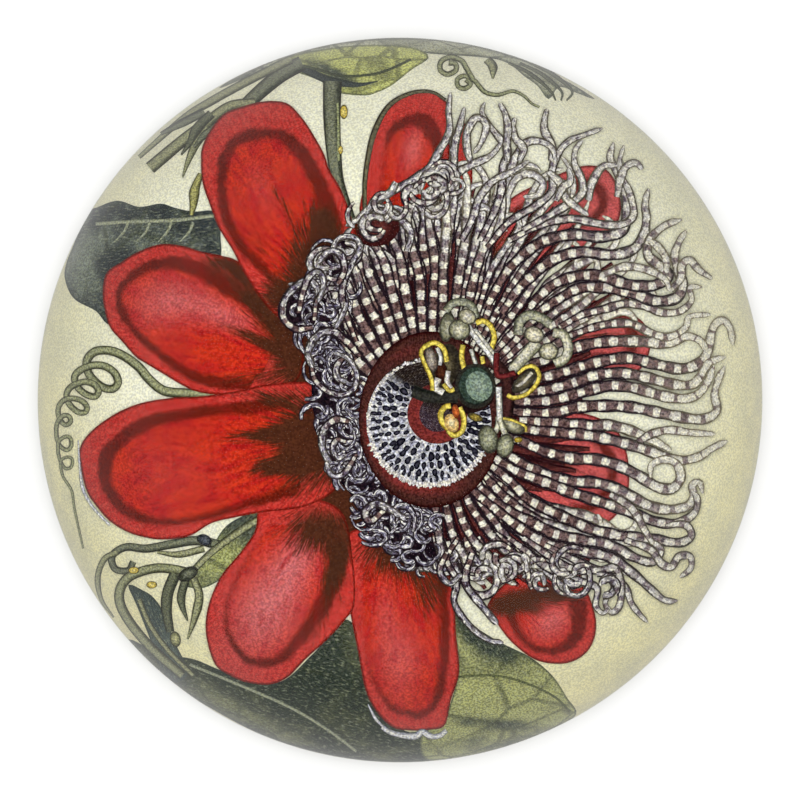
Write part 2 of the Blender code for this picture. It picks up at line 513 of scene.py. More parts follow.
# --- petals -------------------------------------------------------------------------------------
def petal(ink, level, outline, spine, contour, blush=(), dark=(), seed=0.0):
    """A petal from its outline, the line down its middle, and the inner dark line with its widths."""
    points, faces, ring = filled(outline)
    base, tip = np.array(spine, float)
    line = smooth_path([p[:2] for p in contour], 120)
    widths = smooth_path([(i, p[2]) for i, p in enumerate(contour)], 120)[:, 1]
    gap, place = distance_to(points, line)
    root = base + (base - tip) * 0.25
    offset, axis = points - root, tip - base
    turn = np.arctan2(offset[:, 1], offset[:, 0]) - math.atan2(axis[1], axis[0])
    turn = (turn + math.pi) % (2 * math.pi) - math.pi
    ink.add(
        points, faces, level,
        inset=np.where(inside(points, np.concatenate([line, [base]])), gap, -gap),
        band=np.interp(place, np.linspace(0, 1, len(line)), widths),
        edge=distance_to(points, ring)[0],
        along=np.hypot(offset[:, 0], offset[:, 1]) / 10,
        across=turn * 5,
        base=spots(points, dark),
        blush=spots(points, blush),
        seed=seed,
    )


def make_petals():
    """The dark ground under the flower's middle, then the petals from the lowest to the highest."""
    ink = Ink("red_petals", petal_ink())
    petal(
        ink, 38,
        [(-35, 22), (-35, 10), (-32, -2), (-30, -20), (-25, -32), (-14, -39), (-5, -44), (8, -40), (8, 40),
         (-6, 47), (-14, 48), (-24, 38)],
        [(0, 0), (-30, 0)],
        [(-20, 10, 0.1), (-20, -10, 0.1)],
        dark=[(-10, 0, 70, 70, 0, 2.0)],
        seed=0.8,
    )
    petal(
        ink, 39,
        [(15, 40), (15.4, 58), (15.8, 72), (17.6, 76.5), (19.4, 73), (20, 62), (19.6, 50), (19, 40)],
        [(17, 40), (17.6, 74)],
        [(16.4, 42, 0.5), (16.6, 60, 0.5), (17.4, 73, 0.5)],
        dark=[(16, 46, 5, 3, 90, 0.8)],
        seed=3.9,
    )
    petal(
        ink, 40,
        [(20, 30), (24, 45), (30, 55), (40, 60.5), (50, 64.5), (57, 63.5), (60.5, 57), (60, 49), (52, 43),
         (40, 36), (28, 26)],
        [(20, 28), (54, 58)],
        [(26, 50, 2.5), (38, 56, 3), (50, 61, 3), (56, 59, 3), (56.5, 52, 2), (44, 44, 2)],
        blush=[(45, 52, 40, 40, 0, 0.6)],
        dark=[(24, 36, 9, 10, 0, 1.0), (33, 47, 8, 3, 30, 0.3)],
        seed=3.1,
    )
    petal(
        ink, 41,
        [(30, 6), (42, 9), (55, 7.5), (65, 7.5), (69, 14), (67.5, 21), (60, 25.5), (48, 28.5),
         (38, 25), (30, 16)],
        [(34, 14), (62, 18)],
        [(40, 24, 2), (52, 26, 2), (62, 24, 2.5), (65.5, 17, 2.5), (62, 11, 2), (48, 11, 2)],
        blush=[(55, 17, 40, 40, 0, 0.6)],
        dark=[(34, 12, 10, 8, 0, 1.0), (58, 17.5, 12, 2.0, 0, 0.7)],
        seed=8.7,
    )
    petal(
        ink, 42,
        [(28, -4), (40, -3.3), (52, -4), (60, -8.5), (63, -17), (62.5, -27), (57, -34), (47, -36), (35, -33),
         (26, -24)],
        [(32, -14), (56, -21)],
        [(38, -7, 2), (50, -8, 2), (58, -13, 2.5), (59.5, -22, 2.5), (54, -30, 2.5), (42, -32, 2)],
        blush=[(50, -18, 40, 40, 0, 0.6)],
        dark=[(30, -16, 11, 9, 0, 1.0), (45, -18, 10, 2, -15, 0.6)],
        seed=5.3,
    )
    petal(
        ink, 43,
        [(24, -57), (27, -62), (31, -67), (37, -71.5), (43, -72.8), (48, -72), (52, -69), (54, -64),
         (53.5, -58), (50, -51), (40, -48), (30, -50)],
        [(34, -56), (46, -63)],
        [(29, -58, 2.5), (30.5, -62, 2), (35, -68, 1.6), (42, -70, 1.6), (48, -68, 2.6),
         (51.4, -62, 4), (51.4, -55, 5)],
        blush=[(42, -61, 6, 4.5, 40, 0.65)],
        dark=[(29, -57, 7, 3.6, 0, 1.0), (41, -53.5, 11, 3.4, 0, 1.0), (38, -58, 3, 2, 0, 0.4)],
        seed=2.2,
    )
    petal(
        ink, 44,
        [(-9.5, 50), (-9.8, 60), (-9, 67), (-7.5, 73), (-5.5, 78), (-3, 81), (1, 84), (5, 85.5), (9, 85.3),
         (12, 83), (13.7, 81), (13.8, 76), (13.5, 66), (12, 55)],
        [(1, 52), (4, 76)],
        [(-5.5, 54, 0.8), (-5, 64, 0.8), (-3.6, 73, 0.8), (0, 77.5, 0.9), (5, 79, 2.6), (10, 76.5, 4.5),
         (12, 68, 2), (11, 58, 1.5)],
        blush=[(3.5, 69, 6, 2.6, 78, 0.55)],
        dark=[(-2, 54, 4, 4, 0, 0.5)],
        seed=6.4,
    )
    petal(
        ink, 45,
        [(-13, -36), (-14.5, -48), (-14, -57), (-11.5, -70), (-9.5, -80), (-6.5, -86), (-2, -90.3),
         (3, -91.2), (8, -91), (12.3, -89.8), (14, -83), (16.3, -75), (15.5, -65), (15, -57),
         (13.5, -46), (9, -36)],
        [(-1, -42), (3.5, -82)],
        [(-10.5, -46, 0.2), (-10.5, -60, 0.4), (-9, -74, 0.5), (-3.4, -84.4, 0.9), (3, -87.4, 1.3),
         (7.8, -86.6, 1.5), (11.4, -82, 2.0), (13.2, -72, 2.4), (13.4, -60, 2.4), (12.8, -48, 2.6)],
        blush=[(0, -72, 10, 5, 90, 0.38), (-4, -60, 9, 3, 90, 0.25)],
        dark=[(2, -42, 15, 9, 0, 1.05), (8, -55, 7, 5, 70, 0.6), (-12, -62, 3, 10, 0, 0.3)],
        seed=9.9,
    )
    petal(
        ink, 46,
        [(-38, -29), (-40, -36), (-44, -42), (-49, -48), (-52, -54), (-53.5, -60), (-53.3, -66),
         (-51, -73), (-47, -76), (-42, -78), (-36, -78.5), (-31, -76.5), (-26, -71.5), (-20, -66),
         (-15, -60.5), (-12.5, -56), (-13, -44), (-16, -31), (-26, -27)],
        [(-24, -34), (-39, -68)],
        [(-35.5, -34, 0.5), (-42, -43, 0.7), (-47, -52, 0.9), (-48.5, -60, 1.0), (-47, -67, 1.2),
         (-43, -72, 1.6), (-38, -73.5, 1.8), (-32, -72, 2.4), (-26, -66, 3.2), (-20, -58, 4.2),
         (-16, -50, 4.2), (-15, -40, 4)],
        blush=[(-37, -58, 13, 8, 62, 0.9), (-29, -45, 9, 5, 60, 0.7)],
        dark=[(-22, -36, 12, 8, 0, 1.0), (-18, -48, 9, 3.5, 70, 0.9), (-22, -62, 8, 2, 55, 0.5)],
        seed=1.3,
    )
    petal(
        ink, 47,
        [(-42, 35), (-45, 38.5), (-50, 40), (-55, 41), (-60, 42.5), (-66, 43), (-72, 41), (-77, 38),
         (-81, 35), (-82, 30), (-81.5, 25), (-80, 20), (-77, 16.5), (-73, 12), (-70, 10), (-65, 7),
         (-60, 4), (-56, 2.3), (-50, 1.5), (-38, 2), (-28, 6), (-27, 18), (-32, 28)],
        [(-34, 14), (-70, 29)],
        [(-33, 18, 2.0), (-38, 26, 3.5), (-45, 32, 4.6), (-53, 37, 4.0), (-61, 39.4, 3.4), (-68, 38.6, 2.8),
         (-74, 35.6, 2.2), (-77.6, 31.5, 2.0), (-78.2, 26.5, 1.8), (-75.6, 20.4, 1.8), (-70.6, 15.2, 1.9),
         (-65, 10.6, 2.2), (-60, 7, 2.6), (-53, 4, 3.0), (-42, 2.6, 3)],
        blush=[(-59, 27.5, 11, 5, -14, 0.6), (-68, 25, 7, 5, 0, 0.3), (-47, 22.5, 7, 3, -20, 0.5)],
        dark=[(-37, 26, 12, 6, -42, 1.0), (-28, 12, 9, 10, 0, 1.0), (-42, 17.5, 10, 1.6, -25, 0.75),
              (-48, 37, 10, 3, -18, 0.8), (-43, 6, 12, 3, 0, 0.5)],
        seed=4.2,
    )
    petal(
        ink, 48,
        [(-13.6, 51), (-16.5, 58.5), (-19.5, 63.5), (-21, 68), (-25, 75), (-28, 79), (-31, 81.8), (-35, 82.5),
         (-39, 82.2), (-44, 80.8), (-48.5, 79), (-52, 75), (-54.5, 70), (-54.9, 66), (-54.5, 60), (-52.5, 54),
         (-50, 47.5), (-46, 41), (-43, 35), (-36, 25), (-28, 20), (-18, 28), (-12, 42)],
        [(-24, 34), (-40, 68)],
        [(-33, 30, 1.6), (-39, 36, 2.0), (-44.6, 42, 2.2), (-49, 50, 2.4), (-50.4, 60, 2.4),
         (-49.2, 68, 2.4), (-45.6, 72.8, 2.4), (-40, 74.6, 2.6), (-35, 74.8, 2.6), (-30, 73, 2.8),
         (-25.6, 68.6, 3.4), (-21.6, 62.4, 4), (-18.6, 56, 4.4), (-16, 48, 4)],
        blush=[(-38, 58, 9, 3, -70, 0.12)],
        dark=[(-24, 38, 10, 9, -50, 1.0), (-21, 49, 8, 4.5, -60, 0.9), (-33, 55, 9, 1.6, -62, 0.55),
              (-40, 44, 8, 3, -60, 0.35), (-33, 28, 8, 6, 0, 0.9)],
        seed=7.7,
    )
    petal(
        ink, 49,
        [(-22, 4), (-35, 4.5), (-45, 2.5), (-55, 1), (-62, 0.7), (-70, -0.5), (-76, -2.5), (-82, -6),
         (-86.5, -10), (-88.5, -14), (-88, -19), (-86.5, -25), (-84, -29), (-80, -33.5), (-75, -36.5),
         (-70, -38), (-65, -38.5), (-58, -37.5), (-52, -34), (-45, -32.3), (-38, -31), (-25, -29),
         (-16, -22), (-15, -6)],
        [(-26, -12), (-74, -19)],
        [(-30, 0.5, 2.6), (-40, -0.4, 3.2), (-50, -1.2, 3.0), (-60, -2.6, 2.8), (-70, -4.8, 3.0),
         (-77, -8.6, 3.4), (-81.6, -13, 3.8), (-83.2, -18.5, 3.4), (-81.8, -25, 3.0), (-77, -31, 2.2),
         (-70, -34, 1.6), (-60, -34.2, 1.3), (-50, -31.8, 1.6), (-40, -29.2, 2.4), (-28, -26, 3)],
        blush=[(-62, -20, 12, 7, 0, 0.08)],
        dark=[(-24, -12, 13, 15, 0, 1.15), (-38, -9.5, 13, 2.2, 8, 0.7), (-33, -18, 12, 2.4, 8, 0.75),
              (-38, 1, 10, 2.4, -6, 0.5)],
        seed=0.4,
    )
    ink.make()


# --- leaves and stems ---------------------------------------------------------------------------
def leaf(ink, level, outline, spine, paint, shade, light=0.5, glow=(), seed=0.0):
    """A leaf from its outline and the line down its middle; glow lists lighter or darker patches."""
    points, faces, ring = filled(outline, 1.2)
    base, tip = np.array(spine, float)
    axis = (tip - base) / np.hypot(*(tip - base))
    offset = points - base
    ink.add(
        points, faces, level,
        edge=distance_to(points, ring)[0],
        along=(offset @ axis) / 10,
        across=(offset @ np.array([-axis[1], axis[0]])) / 10,
        light=light + spots(points, glow),
        paint=tone(*paint), shade=tone(*shade), seed=seed,
    )


def make_leaves():
    """The leaves round the rim, from the top by the left to the bottom right, and two small ones."""
    ink = Ink("green_leaves", leaf_ink())
    # The leaf along the top rim is painted lighter: painted light for the brighter top of the dome.
    leaf(
        ink, 4,
        [(-50, 86), (-40, 92), (-28, 96.5), (-10, 99.5), (12, 99.5), (30, 95.5), (45, 88.5), (54, 83),
         (49, 84.6), (44, 86.4), (41, 83), (38, 86.6), (34, 89.6), (30, 92.8), (24, 94.4), (8, 95.6),
         (-6, 97), (-24, 95), (-36, 91.5)],
        [(-40, 91), (45, 88)],
        (200, 202, 164), (124, 128, 102), light=0.5, seed=1.0,
    )
    leaf(
        ink, 5,
        [(-36, 92), (-30, 95), (-20, 97), (-10, 98), (0, 97.8), (5, 96.8), (8, 94.5), (3, 91), (-2, 87),
         (-6, 85), (-10, 84), (-18, 85), (-22, 88), (-29, 90.5)],
        [(-28, 93), (3, 94)],
        (202, 208, 112), (66, 74, 58), light=0.85,
        glow=[(-19, 90.5, 9, 2.2, -28, -0.9), (-8, 88, 7, 2, 5, 0.35), (-2, 94.5, 8, 1.8, 0, 0.3)], seed=2.0,
    )
    leaf(
        ink, 6,
        [(-87, 52), (-84, 53), (-78, 55), (-72, 53.3), (-66, 54.2), (-62, 53), (-57, 52), (-52, 52.3),
         (-50, 50.5), (-49.5, 45), (-50.5, 38), (-62, 34), (-76, 30), (-80, 21), (-84, 24.6), (-90, 28),
         (-92.5, 33.5), (-92, 38), (-90, 43), (-88.5, 47)],
        [(-82, 46), (-54, 49)],
        (124, 134, 118), (44, 50, 52), light=0.22,
        glow=[(-88, 38, 6, 12, 0, 0.6), (-66, 52, 18, 2.5, 0, -0.2), (-64, 44, 14, 2.5, 0, 0.2)], seed=3.0,
    )
    leaf(
        ink, 7,
        [(-75, -66), (-66, -70), (-57, -71.5), (-48, -75), (-34, -78), (-24, -70), (-15, -60.5), (-9, -70),
         (-6, -84), (2, -91.5), (12, -90), (12, -99), (-10, -99.5), (-34, -94), (-54, -84), (-67, -75)],
        [(-50, -80), (4, -95)],
        (112, 116, 78), (42, 50, 42), light=0.24,
        glow=[(-46, -85, 20, 2.5, -27, 0.45), (-28, -78, 14, 8, 0, -0.2)], seed=4.0,
    )
    leaf(
        ink, 8,
        [(14, -56), (20, -62), (28, -67), (36, -71), (42, -76), (46, -82), (48.5, -87), (40, -92),
         (25, -97.5), (8, -99.5), (6, -92), (12, -88), (16, -74)],
        [(17, -68), (34, -88)],
        (166, 170, 106), (54, 62, 52), light=0.76,
        glow=[(24, -66, 12, 4.5, -38, -0.75), (28, -89.5, 16, 1.8, -4, -0.6),
              (30, -95, 20, 2.5, 8, -0.3)], seed=5.0,
    )
    leaf(
        ink, 9,
        [(-36, -30), (-47, -34), (-53, -42), (-60, -50), (-55, -52), (-49, -49), (-43, -42)],
        [(-40, -34), (-56, -49)],
        (160, 166, 96), (70, 76, 66), light=0.6, glow=[(-42, -35, 6, 3, -30, -0.7)], seed=6.0,
    )
    leaf(
        ink, 22,
        [(-75, -51), (-71, -52.5), (-68, -54.5), (-65, -59), (-62, -67), (-58.5, -75), (-62, -78), (-66, -74),
         (-69, -66), (-72.5, -57)],
        [(-71, -54), (-61, -74)],
        (98, 112, 104), (52, 64, 62), light=0.4, seed=7.0,
    )
    ink.make()


# Light and shade colours of the stems and other small green parts.
OLIVE = dict(paint=(150, 152, 112), shade=(66, 68, 48))
SLATE = dict(paint=(112, 116, 94), shade=(46, 50, 40))
TENDRIL = dict(paint=(148, 152, 112), shade=(62, 64, 42))
VEIN = dict(paint=(156, 162, 132), shade=(120, 126, 104), line=0.0)
BLADE = dict(paint=(96, 100, 78), shade=(48, 52, 42))
YELLOW = dict(paint=(238, 216, 120), shade=(206, 176, 70))


def make_stems():
    """The stems, twigs, tendrils, glands and leaf veins, and the pale edges of some petals."""
    ink = Ink("stems_and_tendrils", painted_ink("green_stems"))
    stroke(ink, [(-27, 93), (-33, 89.6), (-38, 85.6), (-43.5, 80.5)], 4.2, 24, taper=(1, 0.9), **SLATE)
    stroke(ink, [(-30, 94), (-42, 88), (-52, 82.5), (-60, 77.5), (-72, 67)], 2.4, 24.2,
           taper=(1, 0.5), **OLIVE)
    stroke(ink, [(-40, 82), (-47, 81), (-54, 76), (-60, 71.5), (-69, 64)], 3.2, 25, taper=(0.8, 1.1), **OLIVE)
    stroke(ink, [(-66, 73.5), (-60, 76.5), (-54, 79.6)], 2.4, 25.5, taper=(0.4, 1), **SLATE)
    stroke(ink, [(-52, 79), (-56, 75), (-58, 71), (-60.4, 67.6)], 2.6, 26, taper=(1, 0.2), **BLADE)
    stroke(ink, [(-53, 75), (-56.6, 70), (-58.4, 66), (-60, 61.4)], 2.2, 26.4, taper=(1, 0.2), **OLIVE)
    stroke(ink, [(-50, 76), (-54, 73), (-57, 69.6)], 2.2, 26.8, taper=(1, 0.3), **SLATE)
    stroke(ink, [(-55, 62.5), (-56.6, 58), (-57, 54), (-57.6, 51)], 3.0, 29, taper=(0.5, 0.4),
           paint=(164, 160, 96), shade=(84, 84, 48))
    stroke(ink, [(-18.6, 88), (-18.8, 78), (-18.2, 68), (-17, 60), (-13.4, 50)], 4.2, 30,
           taper=(1.25, 0.55), **SLATE)
    stroke(ink, [(-17.2, 82), (-17, 74), (-17, 66)], 0.7, 30.5, paint=(150, 156, 110),
           shade=(110, 116, 80), line=0)
    blob(ink, (-15.5, 79.5), (1.1, 2.0), 31, seed=1, **YELLOW)
    blob(ink, (-16.4, 69), (0.7, 1.2), 31, seed=2, **YELLOW)
    tendril = smooth_path(
        [(-50, 1.6), (-62, 2), (-66, 3), (-69.5, 6), (-72, 9), (-76, 12), (-80, 13.6), (-84, 13.4),
         (-86.3, 11), (-86, 7.6), (-84, 5), (-81.5, 3.3), (-79, 3.2), (-77.8, 5), (-78.8, 7.5),
         (-81.5, 9.3), (-85, 9.5), (-88.5, 8), (-89.8, 6), (-88.8, 3.4), (-86.5, 1.5), (-84.2, 1),
         (-83.2, 2.4), (-84.3, 4.2), (-87, 5), (-90.5, 3.8), (-92, 1.6), (-91.3, -1), (-89, -3.2),
         (-87, -3.4), (-86.4, -2), (-87.6, -0.4), (-90, 0.4), (-92.6, 0), (-94.2, -2), (-94, -5),
         (-92.4, -6.8), (-90.9, -6), (-91.4, -4.5), (-93, -4.4), (-94.6, -6.5), (-94.8, -9.5),
         (-94, -12.4), (-92, -13.8), (-90.7, -12.6), (-91, -10.5), (-92.6, -10.2), (-94.3, -12),
         (-94, -16), (-92.4, -18.8), (-90.7, -18.4), (-90.5, -16.3), (-92, -15.8), (-93.6, -17),
         (-93, -21), (-90.6, -25), (-89.8, -30), (-87.4, -41)], 460)
    stroke(ink, tendril, 1.8, 32, line=0.9, taper=(1.6, 0.3), **TENDRIL)
    stroke(ink, [(38.5, 80.8), (36.4, 81.8), (34, 84), (31, 85.2), (27, 84.2), (23.4, 85), (20.6, 88),
                 (18, 89.4), (15.9, 88.5), (16.1, 86.5), (18, 86), (19.4, 87.2), (18.2, 88.4)], 1.3, 33,
           count=120, taper=(0.5, 1.1), **TENDRIL)
    stroke(ink, [(20, 88.6), (18.4, 91.4), (17, 93.6), (14, 94.6), (11.4, 93.4), (11.2, 91), (13.2, 89.9),
                 (15.4, 91), (15.2, 92.8), (13.4, 93)], 1.5, 33.5, count=100, **TENDRIL)
    stroke(ink, [(24, 94), (25.6, 92), (25.6, 88.6)], 2.6, 34, taper=(0.9, 0.2), **OLIVE)
    for shift in (0, 3, 6):
        stroke(ink, [(30 + shift, 93), (36 + shift, 90), (41.4 + shift, 85.4), (43 + shift / 2, 82.6)],
               1.2, 34.5, taper=(0.6, 0.4), **BLADE)
    stroke(ink, [(-50, -40), (-56, -38.8), (-63, -39.8), (-70, -41), (-75.6, -40.6), (-79.4, -43),
                 (-78.6, -46.6), (-75, -47), (-73.6, -44.6)], 2.3, 24, taper=(1.2, 0.8), **SLATE)
    stroke(ink, [(-54, -41), (-61, -42.6), (-67, -42)], 2.0, 24.2, taper=(1, 0.4), **OLIVE)
    stroke(ink, [(-58, -48), (-52, -42), (-44, -36), (-36, -31)], 2.2, 24.5, taper=(0.8, 1), **OLIVE)
    stroke(ink, [(-78, -42), (-81.6, -44), (-83.4, -49), (-82.4, -55), (-79, -60)], 1.7, 25.5,
           taper=(1, 0.3), **OLIVE)
    stroke(ink, [(-57, -48), (-62, -46.8), (-68, -46.5), (-75, -49), (-77.5, -54), (-75.4, -60),
                 (-69, -68), (-60, -76)], 2.8, 26, taper=(0.9, 0.9), **TENDRIL)
    stroke(ink, [(-72, -55), (-69, -62), (-64, -69), (-57, -76)], 1.4, 27, **OLIVE)
    stroke(ink, [(-62, -48), (-64, -53), (-64.4, -58), (-63.4, -64)], 3.2, 27.5, taper=(1, 0.7), **BLADE)
    stroke(ink, [(-57, -49), (-55.4, -54), (-56.6, -60), (-58.6, -66)], 2.6, 28, taper=(0.8, 0.2), **OLIVE)
    stroke(ink, [(-59, -49), (-60.4, -55), (-58.6, -61)], 2.4, 28.3, taper=(1, 0.2), **BLADE)
    blob(ink, (-62, -66), (1.5, 2.2), 29, (190, 188, 132), (110, 112, 76), tilt=12, seed=6)
    blob(ink, (-58.5, -48), (3.0, 1.8), 30, seed=7, tilt=30, **SLATE)
    blob(ink, (-54, -38.6), (2.2, 1.5), 30.5, (86, 92, 100), (40, 44, 50), tilt=-20, seed=8)
    for x, y in ((-73.5, -47), (-68.5, -51)):
        blob(ink, (x, y), (1.5, 1.0), 31, seed=x, **YELLOW)
    stroke(ink, [(-84, 48.6), (-74, 49.2), (-62, 49.6), (-50, 51)], 1.0, 20, **VEIN)
    for x in (-75, -69, -63, -57):
        stroke(ink, [(x, 49), (x - 1.2, 46.4), (x - 3.8, 43.6)], 0.7, 20.5, taper=(1.2, 0.3), **VEIN)
    stroke(ink, [(-30, 93), (-22, 91), (-16, 89.4), (-8, 89.8), (-3, 91.2), (3, 94)], 0.7, 21,
           paint=(70, 76, 52), shade=(46, 52, 40), line=0.0)
    stroke(ink, [(-27, 91.6), (-20, 88.4), (-12, 87), (-6, 88)], 2.2, 20.8, taper=(1.0, 0.1),
           paint=(62, 68, 66), shade=(44, 50, 46), line=0.0)
    stroke(ink, [(-58, -73), (-42, -79.6), (-30, -85), (-20, -91), (-12, -97)], 0.8, 22.5, **VEIN)
    stroke(ink, [(14, -76.5), (25, -76), (33, -77.5), (42, -81.5), (47, -86)], 0.6, 22.7, paint=(92, 98, 64),
           shade=(72, 78, 50), line=0.0)
    stroke(ink, [(-9.8, 50), (-9.7, 60), (-8.8, 67), (-7.4, 73), (-4.8, 78.8), (-1.4, 82.6), (4, 84.9),
                 (9, 84.9), (12.6, 82.8)], 1.7, 45, taper=(0.7, 0.5), paint=(96, 92, 70),
           shade=(42, 36, 26), line=0.6)
    for edge in ([(-88.8, -11), (-88.4, -18), (-87.4, -24.8), (-84.4, -30), (-80, -34.6)],
                 [(-8.8, -84), (-6.8, -87.8), (-4.6, -90.2)]):
        stroke(ink, edge, 0.9, 50, taper=(0.3, 0.7), paint=(238, 238, 236), shade=(150, 156, 176), line=0.5)
    stroke(ink, [(-5, -90.2), (-2.4, -91.8), (1, -92.6), (4.2, -92.8), (6.2, -91.6), (8.4, -92.8),
                 (11, -92.6), (12.8, -91.2)], 1.9, 50.5, taper=(0.7, 0.7), paint=(240, 240, 236),
           shade=(140, 144, 160), line=0.6)
    ink.make()


# --- the flower's middle ------------------------------------------------------------------------
RING_CENTRE = np.array([8.4, -5.4])
RING_RADII = np.array([19.2, 23.6])
RING_WARM = [(-5, -14, 10, 4, -55, 0.9), (6, -23.5, 12, 3, -8, 0.7), (-1, 13.5, 6, 2, 15, 0.6)]
CUP_CENTRE = np.array([8.0, -6.0])
CUP_RADII = np.array([17.2, 17.8])
EYE_CENTRE = np.array([10.3, -3.8])
EYE_RADIUS = 8.3
CUP_SHADE = [(2, 8, 9, 4.5, -30, 1.3), (10, 9, 8, 3.5, 0, 1.1), (17, 4, 8, 6, 0, 1.1), (11, 0, 5, 3, 0, 1.0)]
# Rows of dark hollows in the cup: how far out they are, their half length, half width and number.
HOLLOWS = [
    (0.13, 1.0, 0.62, 24), (0.34, 1.2, 0.8, 30), (0.55, 1.15, 0.74, 36), (0.74, 0.95, 0.66, 42),
    (0.88, 1.1, 0.5, 52),
]


def round_grid(outer_centre, outer_radii, inner_centre, inner_radii, rings, seam=110.0, sides=160):
    """A band between two ovals, with its turn in radians from the seam; the seam lies where it is covered."""
    turn = np.linspace(0, 2 * math.pi, sides + 1)
    angle = turn + math.radians(seam)
    rim = np.stack([np.cos(angle), np.sin(angle)], 1)
    outer, inner = outer_centre + rim * outer_radii, inner_centre + rim * inner_radii
    share = np.linspace(0, 1, rings)
    grid = outer[:, None] * (1 - share[None, :, None]) + inner[:, None] * share[None, :, None]
    return grid, np.broadcast_to(turn[:, None], grid.shape[:2]), np.broadcast_to(share, grid.shape[:2])


def make_ring():
    """The maroon ring, and the maroon edge of the eye in the cup."""
    ring = Ink("maroon_ring", ring_ink())
    grid, turn, share = round_grid(RING_CENTRE, RING_RADII * 1.03, CUP_CENTRE, CUP_RADII * 0.98, 8)
    ring.strip(grid, 120, turn=turn, across=1 - 2 * share, warm=np.clip(spots(grid, RING_WARM), 0, 1))
    grid, turn, share = round_grid(EYE_CENTRE, EYE_RADIUS, EYE_CENTRE, EYE_RADIUS * 0.6, 6)
    ring.strip(grid, 124, turn=turn, across=-0.1 - 0.9 * share, warm=0.75 + 0 * share)
    ring.make()


def make_cup():
    """The net of white threads in the cup, with rows of dark hollows round the eye, and its ragged edge."""
    cup = Ink("net_cup", cup_ink())
    grid, turn, share = round_grid(CUP_CENTRE, CUP_RADII, EYE_CENTRE, (0.1, 0.1), 30)
    reach = np.hypot(*np.moveaxis(grid - EYE_CENTRE, -1, 0))
    cup.strip(grid, 122, turn=turn, reach=reach, shade_here=np.clip(spots(grid, CUP_SHADE), 0, 1))
    cup.make()
    hollows = Ink("cup_hollows", painted_ink("hollow"))
    for share, length, width, number in HOLLOWS:
        for step in range(number):
            angle = 2 * math.pi * (step + rng.uniform(-0.25, 0.25)) / number
            out = np.array([math.cos(angle), math.sin(angle)])
            near, far = EYE_CENTRE + out * EYE_RADIUS, CUP_CENTRE + out * CUP_RADII * 0.97
            place = near + (far - near) * (share + rng.uniform(-0.04, 0.04))
            if spots(place[None], CUP_SHADE)[0] < 0.8:
                size = rng.uniform(0.8, 1.2)
                blob(hollows, place, (length * size, width * size), 123, (58, 56, 66), (20, 19, 26),
                     tilt=math.degrees(angle), line=0.0, seed=step, wobble=0.07)
    hollows.make()
    frill = Ink("white_frill", painted_ink("frill"))
    for degrees in np.linspace(98, 330, 150):
        angle = math.radians(degrees + rng.uniform(-1, 1))
        out = np.array([math.cos(angle), math.sin(angle)])
        foot = CUP_CENTRE + out * CUP_RADII * rng.uniform(0.93, 0.97)
        tip = foot + out * rng.uniform(0.8, 1.7) * (1.0 if degrees > 200 else 0.5)
        stroke(frill, [foot, (foot + tip) / 2, tip], 0.9, 126 + degrees / 300, (236, 232, 220),
               (168, 162, 160), line=0.15, count=4, taper=(1.0, 0.4), seed=degrees)
    frill.make()


